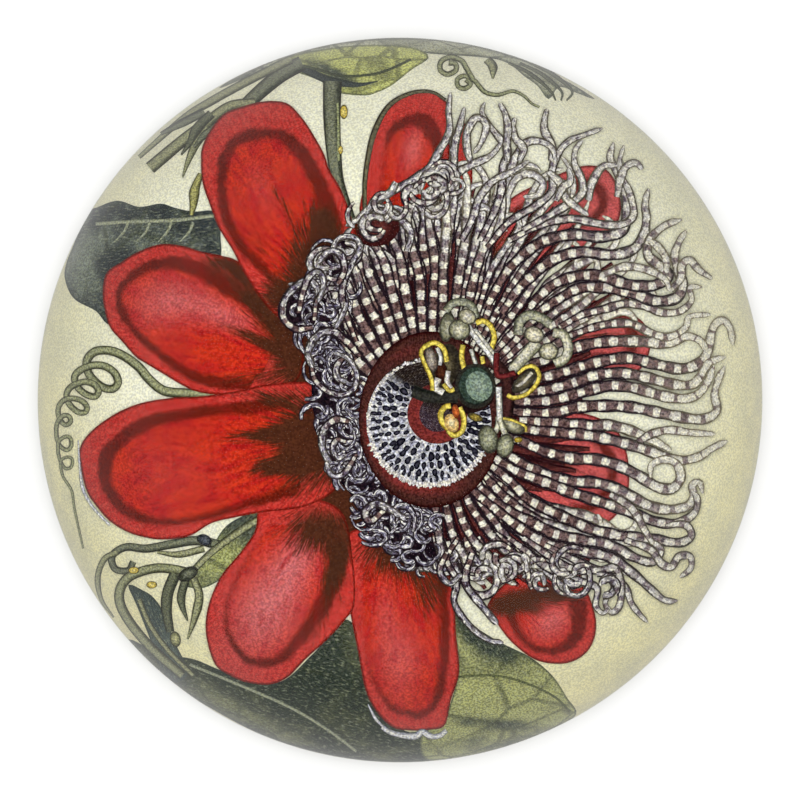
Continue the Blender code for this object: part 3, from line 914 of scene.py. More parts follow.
def make_stamens():
    """The stalk with the ovary, the anthers with yellow edges, and the club-ended stigmas."""
    ink = Ink("stamens_and_stigmas", painted_ink("stamens"))
    gold = dict(paint=(232, 208, 88), shade=(150, 122, 36))
    club = dict(paint=(206, 202, 176), shade=(116, 116, 92))
    stalk = dict(paint=(236, 234, 222), shade=(130, 128, 120))
    thread = dict(paint=(226, 222, 210), shade=(134, 128, 118))
    shadow = dict(paint=(62, 38, 36), shade=(32, 24, 24), line=0.0)
    stroke(ink, [(22, 11), (26, 10), (29.4, 6), (30, 0), (29, -6)], 3.4, 138, count=30, **shadow)
    blob(ink, (18, 1.6), (8, 5.4), 139, **shadow)
    stroke(ink, [(3.5, 2.6), (8, 1), (16, 1)], 3.6, 140, count=20, paint=(46, 46, 42), shade=(24, 26, 24))
    blob(ink, (12.6, 9.4), (3.8, 6.2), 140.5, (92, 84, 62), (42, 38, 32), tilt=-12, line=0.2, seed=4)
    blob(ink, (11.4, 7.6), (1.8, 3.2), 141, (74, 44, 32), (36, 22, 20), tilt=8, line=0.2, seed=5)
    stroke(ink, [(10.6, 6), (9.8, 3.4), (12, 2)], 2.0, 141.5, count=20, **thread)
    stroke(ink, [(13.4, 8), (13, 5), (14.4, 2.6)], 1.6, 142, count=20, **thread)
    blob(ink, (8.6, 11.2), (1.6, 3.6), 142.2, (176, 168, 150), (104, 92, 84), tilt=14, seed=6)
    stroke(ink, [(10.2, 14.4), (11.2, 12), (11, 9.6)], 1.1, 142.4, count=20, paint=(236, 234, 226),
           shade=(150, 150, 150))
    stroke(ink, [(9, 2.6), (8.6, 6), (6.8, 10), (5.8, 13), (7, 15)], 1.3, 143, count=40, **gold)
    stroke(ink, [(6.6, 14.6), (9.4, 15.8), (12, 14.2), (13, 10.6)], 1.5, 143.4, count=40, **gold)
    stroke(ink, [(12, 4.4), (13.6, 2.6), (15, 3)], 1.3, 143.6, count=20, **gold)
    stroke(ink, [(17.4, 15.2), (17, 12), (17.8, 8.2)], 1.6, 143.8, count=30, **gold)
    stroke(ink, [(19.6, 14), (20.4, 11.5), (21, 9.6)], 1.3, 144, count=20, paint=(206, 204, 190),
           shade=(92, 92, 84))
    stroke(ink, [(22.6, 12), (23, 10)], 1.4, 144.2, count=8, **gold)
    stroke(ink, [(21, 21.2), (23, 21.8), (25, 20.4), (26, 17.6), (25.4, 14.8), (24.6, 13)], 1.6,
           144.4, count=50, **gold)
    blob(ink, (34.4, 5.2), (4.4, 2.0), 144.6, (120, 110, 84), (58, 54, 44), tilt=42, seed=3)
    stroke(ink, [(31.6, 3.2), (34, 5), (36.4, 7.6)], 1.2, 144.7, count=20, paint=(204, 198, 180),
           shade=(110, 104, 90))
    stroke(ink, [(32.4, 7.4), (34.6, 9), (37, 9.2), (38.4, 6.8), (37.4, 4), (34.8, 1.6), (31.4, 0.6),
                 (29.6, 1.4)], 1.3, 145, count=70, **gold)
    stroke(ink, [(14.4, -8.8), (11.8, -6.4), (11.2, -3.8), (12.4, -2), (14, -1.6)], 1.7,
           145.4, count=50, **gold)
    stroke(ink, [(13.2, -8.4), (15, -9.8), (17.2, -8.4), (17.6, -5), (16.4, -2)], 1.6,
           145.6, count=50, **gold)
    blob(ink, (14.2, -6.4), (1.9, 2.6), 145.8, (240, 226, 170), (206, 160, 90), tilt=20, line=0.3, seed=2)
    blob(ink, (15.4, -3.2), (1.0, 2.0), 146, (196, 96, 48), (130, 60, 34), tilt=10, line=0.3, seed=2)
    blob(ink, (31, -7), (3.8, 1.9), 146.2, (176, 172, 140), (90, 88, 70), tilt=-28, seed=4)
    stroke(ink, [(27.6, -5), (31, -5.6), (34.4, -7.2), (34.8, -8.8)], 0.8, 146.5, count=40, **gold)
    blob(ink, (32.6, -11), (1.2, 0.8), 146.8, gold["paint"], gold["shade"])
    blob(ink, (20.8, -4.8), (2.2, 1.1), 147, (176, 152, 66), (86, 76, 40), tilt=-20)
    stroke(ink, [(18.6, 20.4), (21.6, 16.6), (25, 12.4), (26.6, 9.6)], 2.0, 148, count=30, **stalk)
    stroke(ink, [(20.6, 19.6), (23.4, 16), (26, 12.6)], 1.2, 148.2, count=20, paint=(214, 210, 190),
           shade=(110, 108, 96))
    stroke(ink, [(38, 16), (34.4, 12), (31, 8.4)], 3.4, 148.5, count=30, taper=(1.2, 0.9), **club)
    stroke(ink, [(27.2, 3.6), (27.4, -2), (27.6, -6)], 1.8, 149, count=30, **stalk)
    stroke(ink, [(27.2, -4.6), (27, -7.4), (25.6, -9.6)], 1.7, 149.2, count=20, **club)
    stroke(ink, [(27.4, -5), (28.4, -8), (29.4, -10)], 1.7, 149.4, count=20, **club)
    stroke(ink, [(26.8, 13), (26.6, 9.4), (27.4, 6.6), (31.8, 7.4)], 1.9, 149.6, paint=(98, 40, 40),
           shade=(50, 18, 22))
    blob(ink, (13, 20.2), (2.1, 4.2), 150, (160, 158, 134), (96, 96, 76), tilt=-8, seed=1)
    stroke(ink, [(12.6, 24.6), (14.6, 26.6), (17.6, 27), (20, 25.6), (21, 22.6)], 2.3, 151, count=50,
           paint=(150, 152, 130), shade=(84, 86, 70))
    blob(ink, (16.4, 19.4), (3.1, 2.9), 152, club["paint"], club["shade"], seed=2)
    blob(ink, (18.6, 23), (2.6, 2.1), 153, (226, 220, 198), (150, 146, 120), seed=3, tilt=-30)
    stroke(ink, [(32.6, 18), (33, 21.4), (35.6, 23.4), (39, 22.6), (41.6, 20.8)], 2.8, 154, count=50,
           paint=(164, 164, 140), shade=(84, 86, 70))
    stroke(ink, [(42.2, 18.6), (45, 18), (46.4, 14.6), (45.4, 11.4), (42.6, 10)], 2.8, 155, count=50, **club)
    blob(ink, (37, 18), (2.9, 2.3), 156, (230, 224, 200), (160, 154, 128), tilt=-20, seed=4)
    blob(ink, (41, 13.4), (2.8, 2.4), 157, (222, 216, 190), (150, 146, 118), seed=5)
    blob(ink, (24.3, -10.8), (2.7, 4.0), 158, (160, 162, 134), (96, 98, 78), tilt=12, seed=6)
    blob(ink, (29, -12.6), (2.4, 3.3), 159, (176, 176, 146), (104, 106, 84), tilt=-14, seed=7)
    blob(ink, (20.8, 3.8), (5.6, 6.2), 160, (60, 74, 64), (22, 32, 28), seed=9)
    blob(ink, (20.8, 4), (4.4, 5.0), 160.5, (84, 98, 88), (46, 58, 50), line=0.0, seed=3)
    blob(ink, (21.8, 3.8), (3.6, 4.2), 161, (132, 148, 130), (104, 122, 106), tilt=20, line=0.0, seed=9)
    ink.make()


# --- filaments ----------------------------------------------------------------------------------
# Where the filaments that leave the ring at these angles end: degrees, then x and y of the tip.
REACH = [
    (160, -29, 30), (140, -24, 39), (124, -17, 46), (108, -9, 52), (96, 0, 58), (86, 9, 66), (78, 18, 72),
    (70, 27, 74), (62, 38, 71), (54, 51, 68), (46, 60, 60), (38, 66, 52), (30, 74, 42), (21, 80, 30),
    (13, 82, 20), (5, 82, 9), (-3, 80, -2), (-10, 80, -11), (-18, 77, -22), (-27, 76, -34), (-36, 72, -44),
    (-44, 66, -51), (-51, 56, -52), (-58, 47, -53), (-66, 37, -54), (-76, 25, -54), (-88, 14, -52),
    (-102, 4, -48), (-116, -5, -43),
]
# Single filaments that are drawn one by one: points down the middle, from the ring outwards.
RIGHT_SIDE = [
    [(31, 4), (38, 5.8), (46, 8), (55, 10.6), (63, 11.6), (70, 10), (77, 8.6), (82, 9.8), (84.6, 12.6),
     (85.6, 17), (86.8, 20.6), (89, 22), (91, 20), (92, 15)],
    [(32, 8.4), (40, 11), (47, 14), (56, 16), (66, 16.2), (74, 15.6), (79, 17.6), (83, 16.2), (84.8, 13)],
    [(30, 2), (38, 2.4), (46, 4.2), (54, 6.8), (61, 7.4), (68, 6.2), (75, 4.4), (80.5, 4.2), (83, 6.8),
     (85.4, 10.4), (90, 12)],
    [(30, 0), (36, -0.5), (42, 0), (48, 1.5), (54, 3.2), (60, 4), (66, 3), (73, 1), (79, 0.4), (83, 2.2),
     (85.4, 6.2), (86.6, 9.6)],
    [(28.5, -2.5), (36, -3.6), (43, -3.3), (49, -2), (56, -1.6), (64, -2), (72, -3.6), (79, -5), (84, -5.2),
     (87.4, -3), (86.8, 1.5), (87.8, 5.5), (89.6, 9.4)],
    [(33, -5.6), (42, -6.2), (52, -7), (58, -7), (64, -8.6), (70, -11.2), (75, -14)],
    [(64, -13), (68.6, -9.8), (74, -8.3), (80, -9), (87, -9.4)],
    [(28.5, -6.5), (36, -8.2), (44, -9), (52, -9.8), (60, -11.4), (68, -13.8), (76, -16.6), (82, -15.8),
     (86, -13.4), (90.4, -11.2)],
    [(28, -9.5), (34, -11.6), (40, -14.2), (47, -16), (54, -16.4), (60, -18), (66, -21), (71, -24),
     (75, -24.4), (77.4, -21.6), (76.4, -17.8), (73, -16.4), (69.4, -18), (69.2, -21.4)],
    [(27, -13.5), (33, -17), (40, -20.4), (47, -22.4), (54, -22.8), (61, -25), (67, -28.4), (73, -30.2),
     (79, -29.4), (81, -26.4), (80.6, -23.6), (82.6, -22.8), (83.6, -25.8)],
    [(26, -16), (33, -20), (40, -22.6), (47, -25.4), (55, -28), (62, -30.4), (70, -33.4), (76, -34),
     (81, -31.4), (82, -27.4), (80.4, -25)],
    [(25, -18), (30, -22), (35, -27), (41, -30.4), (48, -33.6), (54, -36), (62, -37.6), (70, -38.4),
     (77, -39.4), (80.4, -37.4), (78.6, -34.4), (73, -34.6)],
    [(22, -24), (29, -30), (36, -33.6), (43, -37), (51, -38.8), (58, -40), (65, -43.6), (70, -44.6),
     (72, -41.4), (69, -38.6)],
    [(20, -25), (30, -33), (40, -39.5), (50, -41.6), (58, -43.4), (64, -47.6), (69, -52),
     (73, -55.2), (76.6, -55.4)],
    [(62, -38.6), (69, -41.2), (72, -45), (74.8, -46), (77, -43.2), (80, -43.2), (80.2, -46.4), (77.2, -49)],
    [(40, -40), (50, -45), (57, -48), (62, -51.6), (63.8, -56), (66, -59), (68.4, -61.4)],
    [(34, -38), (46, -46), (55, -47), (59.4, -46.4), (61, -51), (60.6, -56.6), (58.4, -58.6),
     (56.6, -56), (58.6, -52)],
    [(30, -38), (42, -47), (50, -50), (54.4, -52), (54, -56.6), (56, -58.8), (58, -57)],
    [(58, -26), (64, -30), (67.6, -36), (70, -40)],
    [(44, 20), (50, 23.4), (56, 25), (62, 26.6), (67, 26), (72, 24.2), (77, 24.4), (80.4, 27.4),
     (80, 31), (83.4, 31.2)],
    [(45, 17), (52, 19.6), (58, 21), (64, 21), (69, 18.6), (74, 17.4), (78.6, 19.8), (80, 23), (85.8, 23.6)],
    [(38, 24), (44, 28), (50, 31), (57, 31), (64, 29.6), (70, 27.4), (76, 28), (78, 31.6), (76.6, 36),
     (75.8, 40), (77, 43.6), (79, 46.8)],
    [(36, 26), (42, 31.6), (49, 34.2), (56, 34), (63, 31.8), (70, 31.6), (74, 34.4), (71.6, 37),
     (68.4, 40), (68.8, 44), (71, 46.6), (74, 48.6), (77.8, 49.8)],
    [(56, 34.6), (62, 36.8), (68, 36), (73, 33.4), (74.6, 30)],
    [(74.6, 30.4), (77.4, 33.4), (77.8, 37.2), (80, 38.6), (82.4, 36), (86.2, 33.4)],
    [(69, 44), (71.4, 42), (73.4, 39), (73.6, 35)],
]
UPPER_SIDE = [
    [(28, 24), (34, 32), (42, 38.6), (50, 40.8), (58, 40), (64, 41.4), (67, 45), (68, 50),
     (67.6, 54), (68.6, 58.4)],
    [(24, 26), (30, 36), (38, 43), (47, 45.6), (56, 45), (61.4, 47), (62.6, 53), (61.6, 59), (59.4, 63.6),
     (58, 67), (59, 71.2)],
    [(30, 44), (38, 48), (47, 50), (55, 48.6), (61, 48.4), (64.4, 51), (63.4, 57), (61, 62),
     (60.6, 66), (61.8, 70.4)],
    [(52, 55), (53, 60), (56, 64.4), (60, 64.8)],
    [(60, 56), (60.8, 61), (62.4, 64.4), (65, 65.4), (67, 63.6)],
    [(34, 47), (43, 52), (49.8, 56.4), (50.2, 60.6), (48.2, 65), (48.4, 69), (50.4, 71.8)],
    [(24, 42), (30, 49), (38, 54), (42, 58), (42, 63.4), (43.6, 68), (46.6, 71.4), (51, 73.2), (56, 75)],
    [(41.8, 66), (42, 70), (40, 74), (39.8, 77), (40.6, 80.4)],
    [(26, 54), (30, 60), (31.4, 66), (34.6, 70.8), (38.6, 71.4), (42, 69.4), (43, 65.4)],
    [(33, 66), (34, 69.4), (32, 72), (31, 75), (31.8, 78)],
    [(22, 44), (26, 52), (28, 58), (28.4, 64), (29.8, 69), (26.8, 73), (24, 76.6),
     (22.6, 79.6), (23.4, 82.2)],
    [(29.6, 66), (29.4, 70), (29.8, 75), (29, 79), (27.4, 82)],
    [(17, 44), (20, 50), (22, 56), (26, 60.6), (31, 63), (35.6, 66)],
    [(20, 64), (18.6, 69), (18.6, 74), (21, 77.8), (23.8, 76), (22.6, 71.4), (20.4, 68)],
    [(10, 56), (15, 62), (20, 65), (25, 67.4), (28, 71)],
    [(-7, 54), (-2, 57.6), (3, 60.4), (8, 64), (11, 69), (13.6, 74), (13.4, 80), (14, 85)],
    [(12, 58), (14.6, 64), (15, 70), (16.6, 76), (17.8, 80.8)],
    [(5, 57), (7, 62), (11, 63.4), (14, 60), (13, 55), (9.4, 52.8), (6.6, 55.6), (8.6, 59)],
    [(2, 41), (3, 46), (0, 50), (-4, 52.8), (-8, 53), (-12, 49.6), (-15, 48)],
    [(-1, 60), (-3, 57), (-7, 55), (-9, 52)],
    [(30, 57), (32, 61), (36, 62.4), (39.4, 60), (38, 56.6), (34, 56)],
    [(41, 63), (44, 60), (45.6, 56), (49, 53), (52, 51)],
    [(43, 55), (45, 58.6), (47, 60.6), (46.4, 64)],
]
LEFT_SIDE = [
    [(-11, 12), (-15, 16.4), (-19, 19), (-23, 17.6), (-25.4, 13), (-24, 9)],
    [(-24.6, 12), (-23.8, 6.4), (-20.6, 2.8), (-16, 1.4), (-12.6, 3.4), (-12, 7.6),
     (-14.6, 11.6), (-18.6, 13)],
    [(-15.4, 12), (-17.6, 9), (-17, 6), (-14.6, 5)],
    [(-24, 20), (-28.6, 19.6), (-32, 22.6), (-32, 27), (-29, 31), (-25.4, 33), (-22.6, 30.4), (-23.4, 26)],
    [(-28, 24), (-27, 29), (-25, 34), (-22.4, 35.4), (-21, 32), (-22.6, 27)],
    [(-23.6, 22), (-23, 27), (-20, 30.6), (-16.4, 30.2), (-14.8, 26.6), (-16.6, 22), (-18, 19.6)],
    [(-12, 16), (-14.6, 23), (-16, 30), (-13.6, 37), (-11, 42), (-13, 45), (-17, 44.4), (-19, 41)],
    [(-17, 32), (-15.4, 36), (-16.4, 40), (-19.6, 41), (-23, 37.6)],
    [(-14, -6), (-17.6, -5.4), (-20.8, -8), (-21.4, -13), (-19.4, -17.6)],
    [(-14.8, -11.6), (-17.4, -11), (-18.6, -13.6), (-17, -16), (-15, -15)],
    [(-12, -15), (-15.6, -20.4), (-19, -20.6), (-20.4, -17)],
    [(-4, -30), (-8, -33.4), (-9.6, -31), (-6.6, -28.6), (-2, -30.6), (1.6, -33)],
    [(16, -38), (13, -44), (15.6, -50), (15, -56), (19, -62), (24, -66), (28.6, -67)],
    [(20, -42), (18, -50), (22, -56), (27, -62)],
    [(13, -42), (11, -47), (13.6, -50.6), (17, -48)],
]
# Rows of looser curls: where a row starts and ends, its spread, its number and how grey it is.
CURL_ROWS = [
    ((-9, 50), (14, 61), 1.2, 16, 0.6), ((46, -46), (59, -53), 1.4, 6, 0.8),
    ((18, -46), (52, -49), 1.6, 18, 0.6), ((-23, 36), (-14, 43), 0.8, 8, 0.7),
]


def wandering(path, sway, waves, phase, hook, hook_start):
    """The path with a sway that grows to its tip, and a last stretch that curls round by hook degrees."""
    steps = np.diff(path, axis=0)
    length = np.hypot(*steps.T)
    heading = np.unwrap(np.arctan2(steps[:, 1], steps[:, 0]))
    share = np.linspace(0, 1, len(steps))
    heading = heading + sway * share**1.3 * np.sin(2 * math.pi * (waves * share + phase))
    heading = heading + math.radians(hook) * np.clip((share - hook_start) / (1 - hook_start), 0, 1) ** 1.3
    moved = np.stack([length * np.cos(heading), length * np.sin(heading)], 1)
    return np.concatenate([path[:1], path[0] + np.cumsum(moved, axis=0)])


def filament(ink, path, width, level, cool, seed, tip=0.5, reach=(0.0, 1.0), start=0.72):
    """One ribbon with its bands: narrow at the ring, widest past half way, rounded at the tip."""
    share = np.linspace(0, 1, len(path))
    shape = np.interp(share, [0, 0.3, 0.7, 0.97, 1.0], [start, 1.0, 0.9, tip, 0.15])
    shape = shape * (1 + 0.07 * np.sin(along_of(path) * 0.9 + seed))
    rows = (len(path), 3)
    ink.strip(
        ribbon_grid(path, width * shape), level,
        across=np.broadcast_to([-1.0, 0.0, 1.0], rows),
        along=np.broadcast_to((along_of(path) + seed * 7)[:, None], rows),
        reach=np.broadcast_to((reach[0] + (reach[1] - reach[0]) * share)[:, None], rows),
        cool=cool, period=1.36 * width * rng.uniform(0.92, 1.08), seed=seed,
    )


def fan_path(angle, shorter, spread, count=90):
    """A smooth run from the ring at this angle to its place among the tips."""
    angles = [row[0] for row in REACH][::-1]
    tip = np.array([np.interp(angle, angles, [row[k] for row in REACH][::-1]) for k in (1, 2)])
    turn = math.radians(angle)
    out = np.array([math.cos(turn), math.sin(turn)])
    start = RING_CENTRE + out * RING_RADII * 0.99
    tip = start + (tip + spread - start) * shorter
    span = np.hypot(*(tip - start))
    leave = np.array([out[0] * 0.75, out[1] * 1.1])
    leave /= np.hypot(*leave)
    lean = np.array([1.0, 0.25]) * 0.25 if angle < 84 else np.array([-0.25, 0.1])
    arrive = (tip - start) / span + lean
    arrive /= np.hypot(*arrive)
    t = np.linspace(0, 1, count)[:, None]
    second, third = start + leave * span * 0.42, tip - arrive * span * 0.30
    curve = (1 - t) ** 3 * start + 3 * (1 - t) ** 2 * t * second + 3 * (1 - t) * t**2 * third + t**3 * tip
    return respaced(curve, count)


def coolness(angle):
    """How far the filaments at this angle turn from cream to violet grey at their tips."""
    places, shares = zip((-114, 0.9), (-60, 0.8), (-35, 0.3), (20, 0.05), (60, 0.55), (100, 0.7), (160, 0.8))
    return float(np.interp(angle, places, shares))


def thickness(angle):
    """How wide the filaments at this angle are."""
    places, widths = zip(
        (-114, 2.5), (-60, 2.7), (-30, 3.2), (20, 3.0), (50, 2.3), (66, 2.9), (130, 3.2), (160, 3.0))
    return float(np.interp(angle, places, widths))


def make_filaments():
    """The fan of banded filaments: shadows first, then a loose fan, then the ones that are drawn singly."""
    shadow = Ink("filament_shadows", painted_ink("filament_shadow"))
    ink = Ink("corona_filaments", filament_ink())
    dark = dict(paint=(82, 42, 40), shade=(38, 22, 24), line=0.0)
    level = SHADOW_LEVEL
    for angle in np.linspace(158, -114, 90):
        sparse = -34 < angle < 26
        low, high = (0.3, 0.5) if sparse else (0.8, 0.95) if angle < -50 else (0.6, 0.85)
        path = fan_path(angle + rng.uniform(-1.5, 1.5), rng.uniform(low, high), 0.0)
        stroke(shadow, path, 3.6, level, taper=(0.8, 0.3), seed=rng.uniform(0, 50), **dark)
        level += 0.16
    level = FILAMENT_LEVEL
    angles = [a for a in np.linspace(156, -113, 104) if not -30 < a < 24]
    for angle in sorted(angles, key=lambda a: rng.uniform()):
        path = fan_path(angle + rng.uniform(-0.8, 0.8), rng.uniform(0.75, 1.0), rng.uniform(-3, 3, 2))
        bend = rng.choice([-1, 1]) * rng.uniform(20, 90 if angle > 86 else 260)
        path = wandering(path, rng.uniform(0.15, 0.6), rng.uniform(1.2, 2.8), rng.uniform(0, 1), bend,
                         rng.uniform(0.72, 0.88))
        first = 0.0
        if abs(angle - 8) > 62:
            path = path[38:]
            first = 0.1
        filament(ink, path, thickness(angle) * rng.uniform(0.85, 1.1), level, coolness(angle),
                 rng.uniform(0, 90), reach=(first, 0.72 if angle > 86 else 1.0))
        level += 0.18
    for angle in [*np.linspace(156, 66, 13), *np.linspace(-60, -112, 7)]:
        path = fan_path(angle, rng.uniform(0.8, 0.95), 0.0)
        path = wandering(path, 0.25, 1.5, rng.uniform(0, 1), rng.choice([-1, 1]) * rng.uniform(30, 120), 0.85)
        filament(ink, path, 1.1 * thickness(angle), level, 0.5 * coolness(angle), rng.uniform(0, 90),
                 start=0.85, reach=(0.0, 0.6 if angle > 86 else 1.0))
        level += 0.18
    for points in UPPER_SIDE + RIGHT_SIDE:
        path = smooth_path(points, 120)
        middle = path[60] - RING_CENTRE
        inner = np.hypot(*(path[0] - RING_CENTRE)) / np.hypot(*(path[-1] - RING_CENTRE))
        first = 0.0 if inner < 0.5 else inner - 0.2
        angle = math.degrees(math.atan2(middle[1], middle[0]))
        last = 0.7 if angle < -22 else 0.82 if angle > 25 else 0.95
        width = 3.6 if first == 0 else 2.6
        filament(ink, path, width, level, coolness(angle), rng.uniform(0, 90), tip=0.55, reach=(first, last))
        level += 0.2
    shadow.make()
    ink.make()


def curl(ink, centre, level, cool=1.0, scale=1.0):
    """One short tight curl round a point."""
    angle = np.radians(rng.uniform(0, 360) + np.linspace(0, rng.choice([-1, 1]) * rng.uniform(90, 300), 26))
    size = scale * rng.uniform(1.1, 2.7) * np.linspace(1.7, 0.8, 26)
    path = centre + np.stack([size * np.cos(angle), size * np.sin(angle) * rng.uniform(0.6, 1.3)], 1)
    filament(ink, path, scale * rng.uniform(1.1, 2.2), level, cool, rng.uniform(0, 90), tip=0.8, start=0.6,
             reach=(0.5 * cool, 0.5 + 0.5 * cool))


def make_curls():
    """The tight mass of curled filaments on the left of the ring and below it, on a dark ground."""
    ink = Ink("curled_filaments", filament_ink())
    bed = Ink("curl_shadows", painted_ink("curl_shadow"))
    points, faces, _ = filled(
        [(-15, 44), (-20, 42), (-28, 32), (-31, 26), (-30, 21), (-26, 18), (-24.6, 10), (-24, -3),
         (-20.6, -11), (-19, -19), (-13, -27), (-10, -34), (-4, -41), (3, -46), (10, -44), (6, -34),
         (-1, -28), (-9, -17), (-12, -5), (-13, 6), (-18, 18), (-20, 30), (-13, 40)],
        1.5)
    blob(bed, (-6, 47), (6, 4.5), CURL_LEVEL - 1.2, (96, 50, 46), (52, 26, 26), line=0.0, tilt=20)
    bed.add(points, faces, CURL_LEVEL - 1, across=0.62, along=points[:, 0] * 2, seed=points[:, 1], line=0.0,
            paint=tone(64, 44, 50), shade=tone(22, 18, 24))
    limit = smooth_path(
        [(-20, 42), (-28, 30), (-28, 20), (-25, 10), (-25, -3), (-21, -11), (-20, -19), (-13, -28),
         (-10, -36), (-4, -43), (4, -49), (12, -51)], 300)
    level = CURL_LEVEL
    for _ in range(190):
        outer = limit[int(rng.uniform(0, 1) * 299)]
        offset = outer - RING_CENTRE
        inner = RING_CENTRE + offset / np.hypot(*(offset / RING_RADII)) * 0.98
        least = np.clip((outer[1] - 10) / 25, 0, 0.6)
        curl(ink, inner + (outer - inner) * rng.uniform(least, 0.97), level)
        level += 0.04
    for start, end, width, number, cool in CURL_ROWS:
        for share in rng.uniform(0, 1, number):
            centre = np.array(start) * (1 - share) + np.array(end) * share + rng.normal(0, width, 2)
            curl(ink, centre, level, cool, 1.3)
            level += 0.04
    for points in LEFT_SIDE:
        path = smooth_path(points, 80)
        filament(ink, path, rng.uniform(2.0, 2.7), level, 0.85, rng.uniform(0, 90), tip=0.7, reach=(0.2, 0.9))
        level += 0.12
    bed.make()
    ink.make()


# --- the glass, the sheet, the felt and the room ------------------------------------------------
def turned(name, profile, material, sides, **numbers):
    """A closed solid turned from a profile that starts and ends on the axis."""
    profile = np.array(profile, float)
    body = profile[1:-1]
    turn = np.linspace(0, 2 * math.pi, sides, endpoint=False)
    rings = body[:, None, :1] * np.stack([np.cos(turn), np.sin(turn)], 1)[None]
    heights = np.broadcast_to(body[:, None, 1:], (len(body), sides, 1))
    points = np.concatenate([rings, heights], -1).reshape(-1, 3)
    points = np.concatenate([points, [[0, 0, profile[0, 1]], [0, 0, profile[-1, 1]]]])
    index = np.arange(len(body) * sides).reshape(len(body), sides)
    after = np.roll(index, -1, axis=1)
    faces = np.stack([index[:-1], after[:-1], after[1:], index[1:]], -1).reshape(-1, 4).tolist()
    faces += [[len(points) - 2, b, a] for a, b in zip(index[0], after[0])]
    faces += [[len(points) - 1, a, b] for a, b in zip(index[-1], after[-1])]
    mesh = bpy.data.meshes.new(name)
    mesh.from_pydata(points.tolist(), [], faces)
    for key, values in numbers.items():
        values = np.concatenate([np.repeat(values[1:-1], sides), [values[0], values[-1]]]).astype(np.float32)
        mesh.attributes.new(key, "FLOAT", "POINT").data.foreach_set("value", values)
    mesh.polygons.foreach_set("use_smooth", [True] * len(faces))
    mesh.materials.append(material)
    return bpy.data.objects.new(name, mesh)


def make_glass():
    """The clear dome: a rounded edge under a sphere's cap, closed below by its flat base."""
    arc = np.linspace(0, math.pi / 2, 13)
    edge_r = SEEN_RADIUS - EDGE_ROUND + EDGE_ROUND * np.sin(arc)
    edge_z = GLASS_BOTTOM + (WIDEST_LEVEL - GLASS_BOTTOM) * (1 - np.cos(arc))
    lowest = math.asin((WIDEST_LEVEL - SPHERE_CENTRE) / SPHERE_RADIUS)
    rise = np.linspace(lowest, math.pi / 2, 97)
    dome_r, dome_z = SPHERE_RADIUS * np.cos(rise), SPHERE_CENTRE + SPHERE_RADIUS * np.sin(rise)
    flat = [(share * edge_r[0], GLASS_BOTTOM) for share in (0, 0.3, 0.6, 0.9, 0.98)]
    profile = flat + list(zip(edge_r, edge_z)) + list(zip(dome_r[1:-1], dome_z[1:-1])) + [(0, DOME_TOP)]
    s = Shader("clear_glass", 0.0, 0.5)
    s.surface.inputs["Transmission Weight"].default_value = 1.0
    s.surface.inputs["IOR"].default_value = GLASS_IOR
    s.surface.inputs["Base Color"].default_value = (1.0, 1.0, 1.0, 1.0)
    s.surface.inputs["Specular Tint"].default_value = (0.0, 0.0, 0.0, 1.0)
    glass = turned("glass_dome_clear", profile, s.material, 256)
    riding(glass)
    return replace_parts(glass, "glass_dome")


def make_paper():
    """The cream sheet under the inks; reach says in which seen radius each of its rings lies."""
    seen = np.linspace(0, 99.8, 60)
    radii = to_sheet(np.stack([seen, seen * 0], 1), PAPER_TOP)[:, 0]
    sides = [(PAPER_RADIUS - PAPER_BEVEL, PAPER_TOP), (PAPER_RADIUS, PAPER_TOP - PAPER_BEVEL),
             (PAPER_RADIUS, PAPER_BOTTOM + PAPER_BEVEL), (PAPER_RADIUS - PAPER_BEVEL, PAPER_BOTTOM),
             (PAPER_RADIUS * 0.5, PAPER_BOTTOM), (0, PAPER_BOTTOM)]
    profile = ([(r, PAPER_TOP) for r in radii] + sides)[::-1]
    reach = np.concatenate([seen, [100] * len(sides)])[::-1]
    paper = turned("cream_paper", profile, paper_ink(), 192, reach=reach)
    riding(paper)
    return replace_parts(paper, "printed_sheet")


def felt_cloth():
    """Dark green felt: matted fibres with paler flecks, and a soft sheen."""
    s = Shader("green_felt", 0.95, 0.1)
    where = s.where()
    matted = s.noise(where, 420, 5.0, 0.7)
    fleck = s.noise(where, 2600, 2.0, 0.6)
    colour = s.mix(s.step(matted, 0.32, 0.68), rgb(24, 44, 34), rgb(44, 70, 54))
    colour = s.mix(s.times(s.step(fleck, 0.58, 0.74), 0.4), colour, rgb(96, 120, 100))
    s.tree.links.new(colour, s.surface.inputs["Base Color"])
    height = s.plus(matted, s.times(fleck, 0.5))
    bump = s.node("Bump", {"Height": height, "Strength": 0.6, "Distance": 0.0004})
    s.tree.links.new(bump.outputs[0], s.surface.inputs["Normal"])
    s.surface.inputs["Sheen Weight"].default_value = 0.3
    return s.material


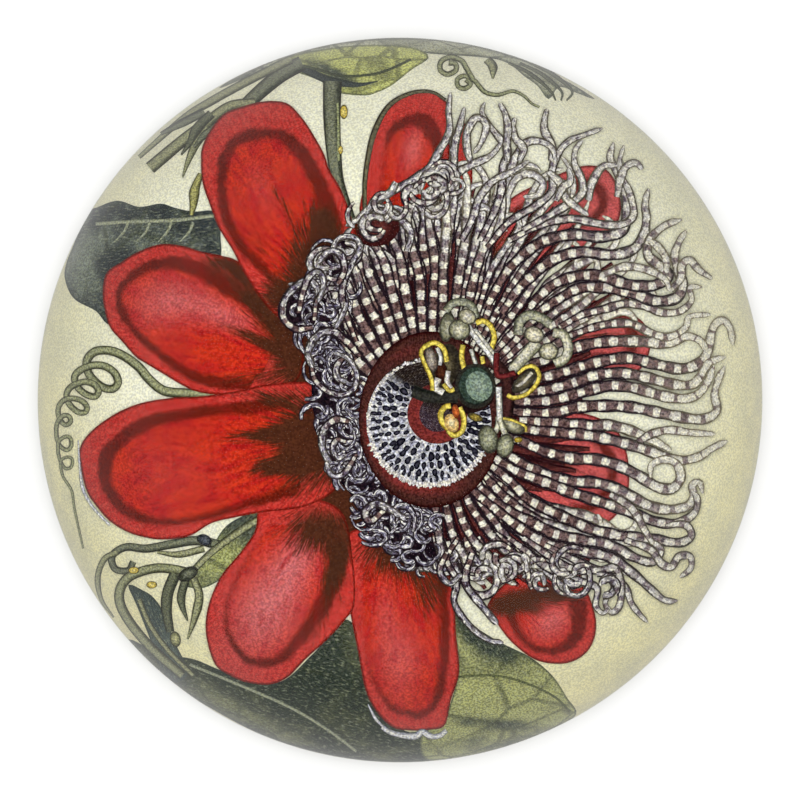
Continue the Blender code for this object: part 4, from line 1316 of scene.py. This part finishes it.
def make_felt():
    """The felt disc with rounded edges, which the paperweight stands on."""
    top, edge = FELT_HIGH.z, FELT_ROUND
    arc = np.linspace(0, math.pi / 2, 6)
    low_edge = [(FELT_RADIUS - edge + edge * math.sin(a), edge - edge * math.cos(a)) for a in arc]
    high_edge = [(FELT_RADIUS - edge + edge * math.cos(a), top - edge + edge * math.sin(a)) for a in arc]
    inner = [FELT_RADIUS * share for share in (0.25, 0.5, 0.75, 0.93)]
    below, above = [(r, 0) for r in inner], [(r, top) for r in inner[::-1]]
    profile = [(0, 0)] + below + low_edge + high_edge + above + [(0, top)]
    felt = turned("green_felt", profile, felt_cloth(), 128)
    riding(felt)
    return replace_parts(felt, "felt_pad")


def make_room():
    """The pale floor and the studio light. The glass doesn't reflect the floor."""
    s = Shader("pale_floor", 0.9, 0.1)
    cloud = s.noise(s.where(), 1.5, 2.0)
    s.tree.links.new(s.mix(cloud, rgb(226, 226, 226), rgb(222, 223, 225)), s.surface.inputs["Base Color"])
    bpy.ops.mesh.primitive_plane_add(size=8)
    floor = bpy.context.object
    floor.name = "floor"
    floor.data.materials.append(s.material)
    floor.visible_glossy = False
    make_light()


def make_light():
    """Soft white light from all round above; the dome's edge reflects the dimmer part below."""
    world = bpy.data.worlds.new("studio")
    world.use_nodes = True
    tree = world.node_tree
    above = tree.nodes.new("ShaderNodeSeparateXYZ")
    tree.links.new(tree.nodes.new("ShaderNodeTexCoord").outputs["Generated"], above.inputs[0])
    strength = tree.nodes.new("ShaderNodeMapRange")
    for name, value in (("From Min", -0.15), ("From Max", 0.1), ("To Min", 0.6), ("To Max", LIGHT)):
        strength.inputs[name].default_value = value
    tree.links.new(above.outputs[2], strength.inputs[0])
    tree.links.new(strength.outputs[0], tree.nodes["Background"].inputs["Strength"])
    tree.nodes["Background"].inputs["Color"].default_value = (1.0, 0.995, 0.985, 1.0)
    bpy.context.scene.world = world


def make_camera():
    """A camera straight above the dome, with the picture's top towards +y."""
    data = bpy.data.cameras.new("above")
    data.sensor_width = 36.0
    tangent = SEEN_RADIUS / (CAMERA_HEIGHT - WIDEST_LEVEL) / SEEN_SHARE
    data.lens = data.sensor_width / 2 / tangent
    data.clip_start, data.clip_end = 0.01, 20.0
    camera = bpy.data.objects.new("above", data)
    camera.location = (0, 0, CAMERA_HEIGHT)
    bpy.context.scene.collection.objects.link(camera)
    bpy.context.scene.camera = camera
    bpy.context.scene.view_settings.view_transform = "Standard"


make_glass()
make_paper()
make_felt()
make_leaves()
make_stems()
make_petals()
make_filaments()
make_curls()
make_ring()
make_cup()
make_stamens()
make_room()
make_camera()
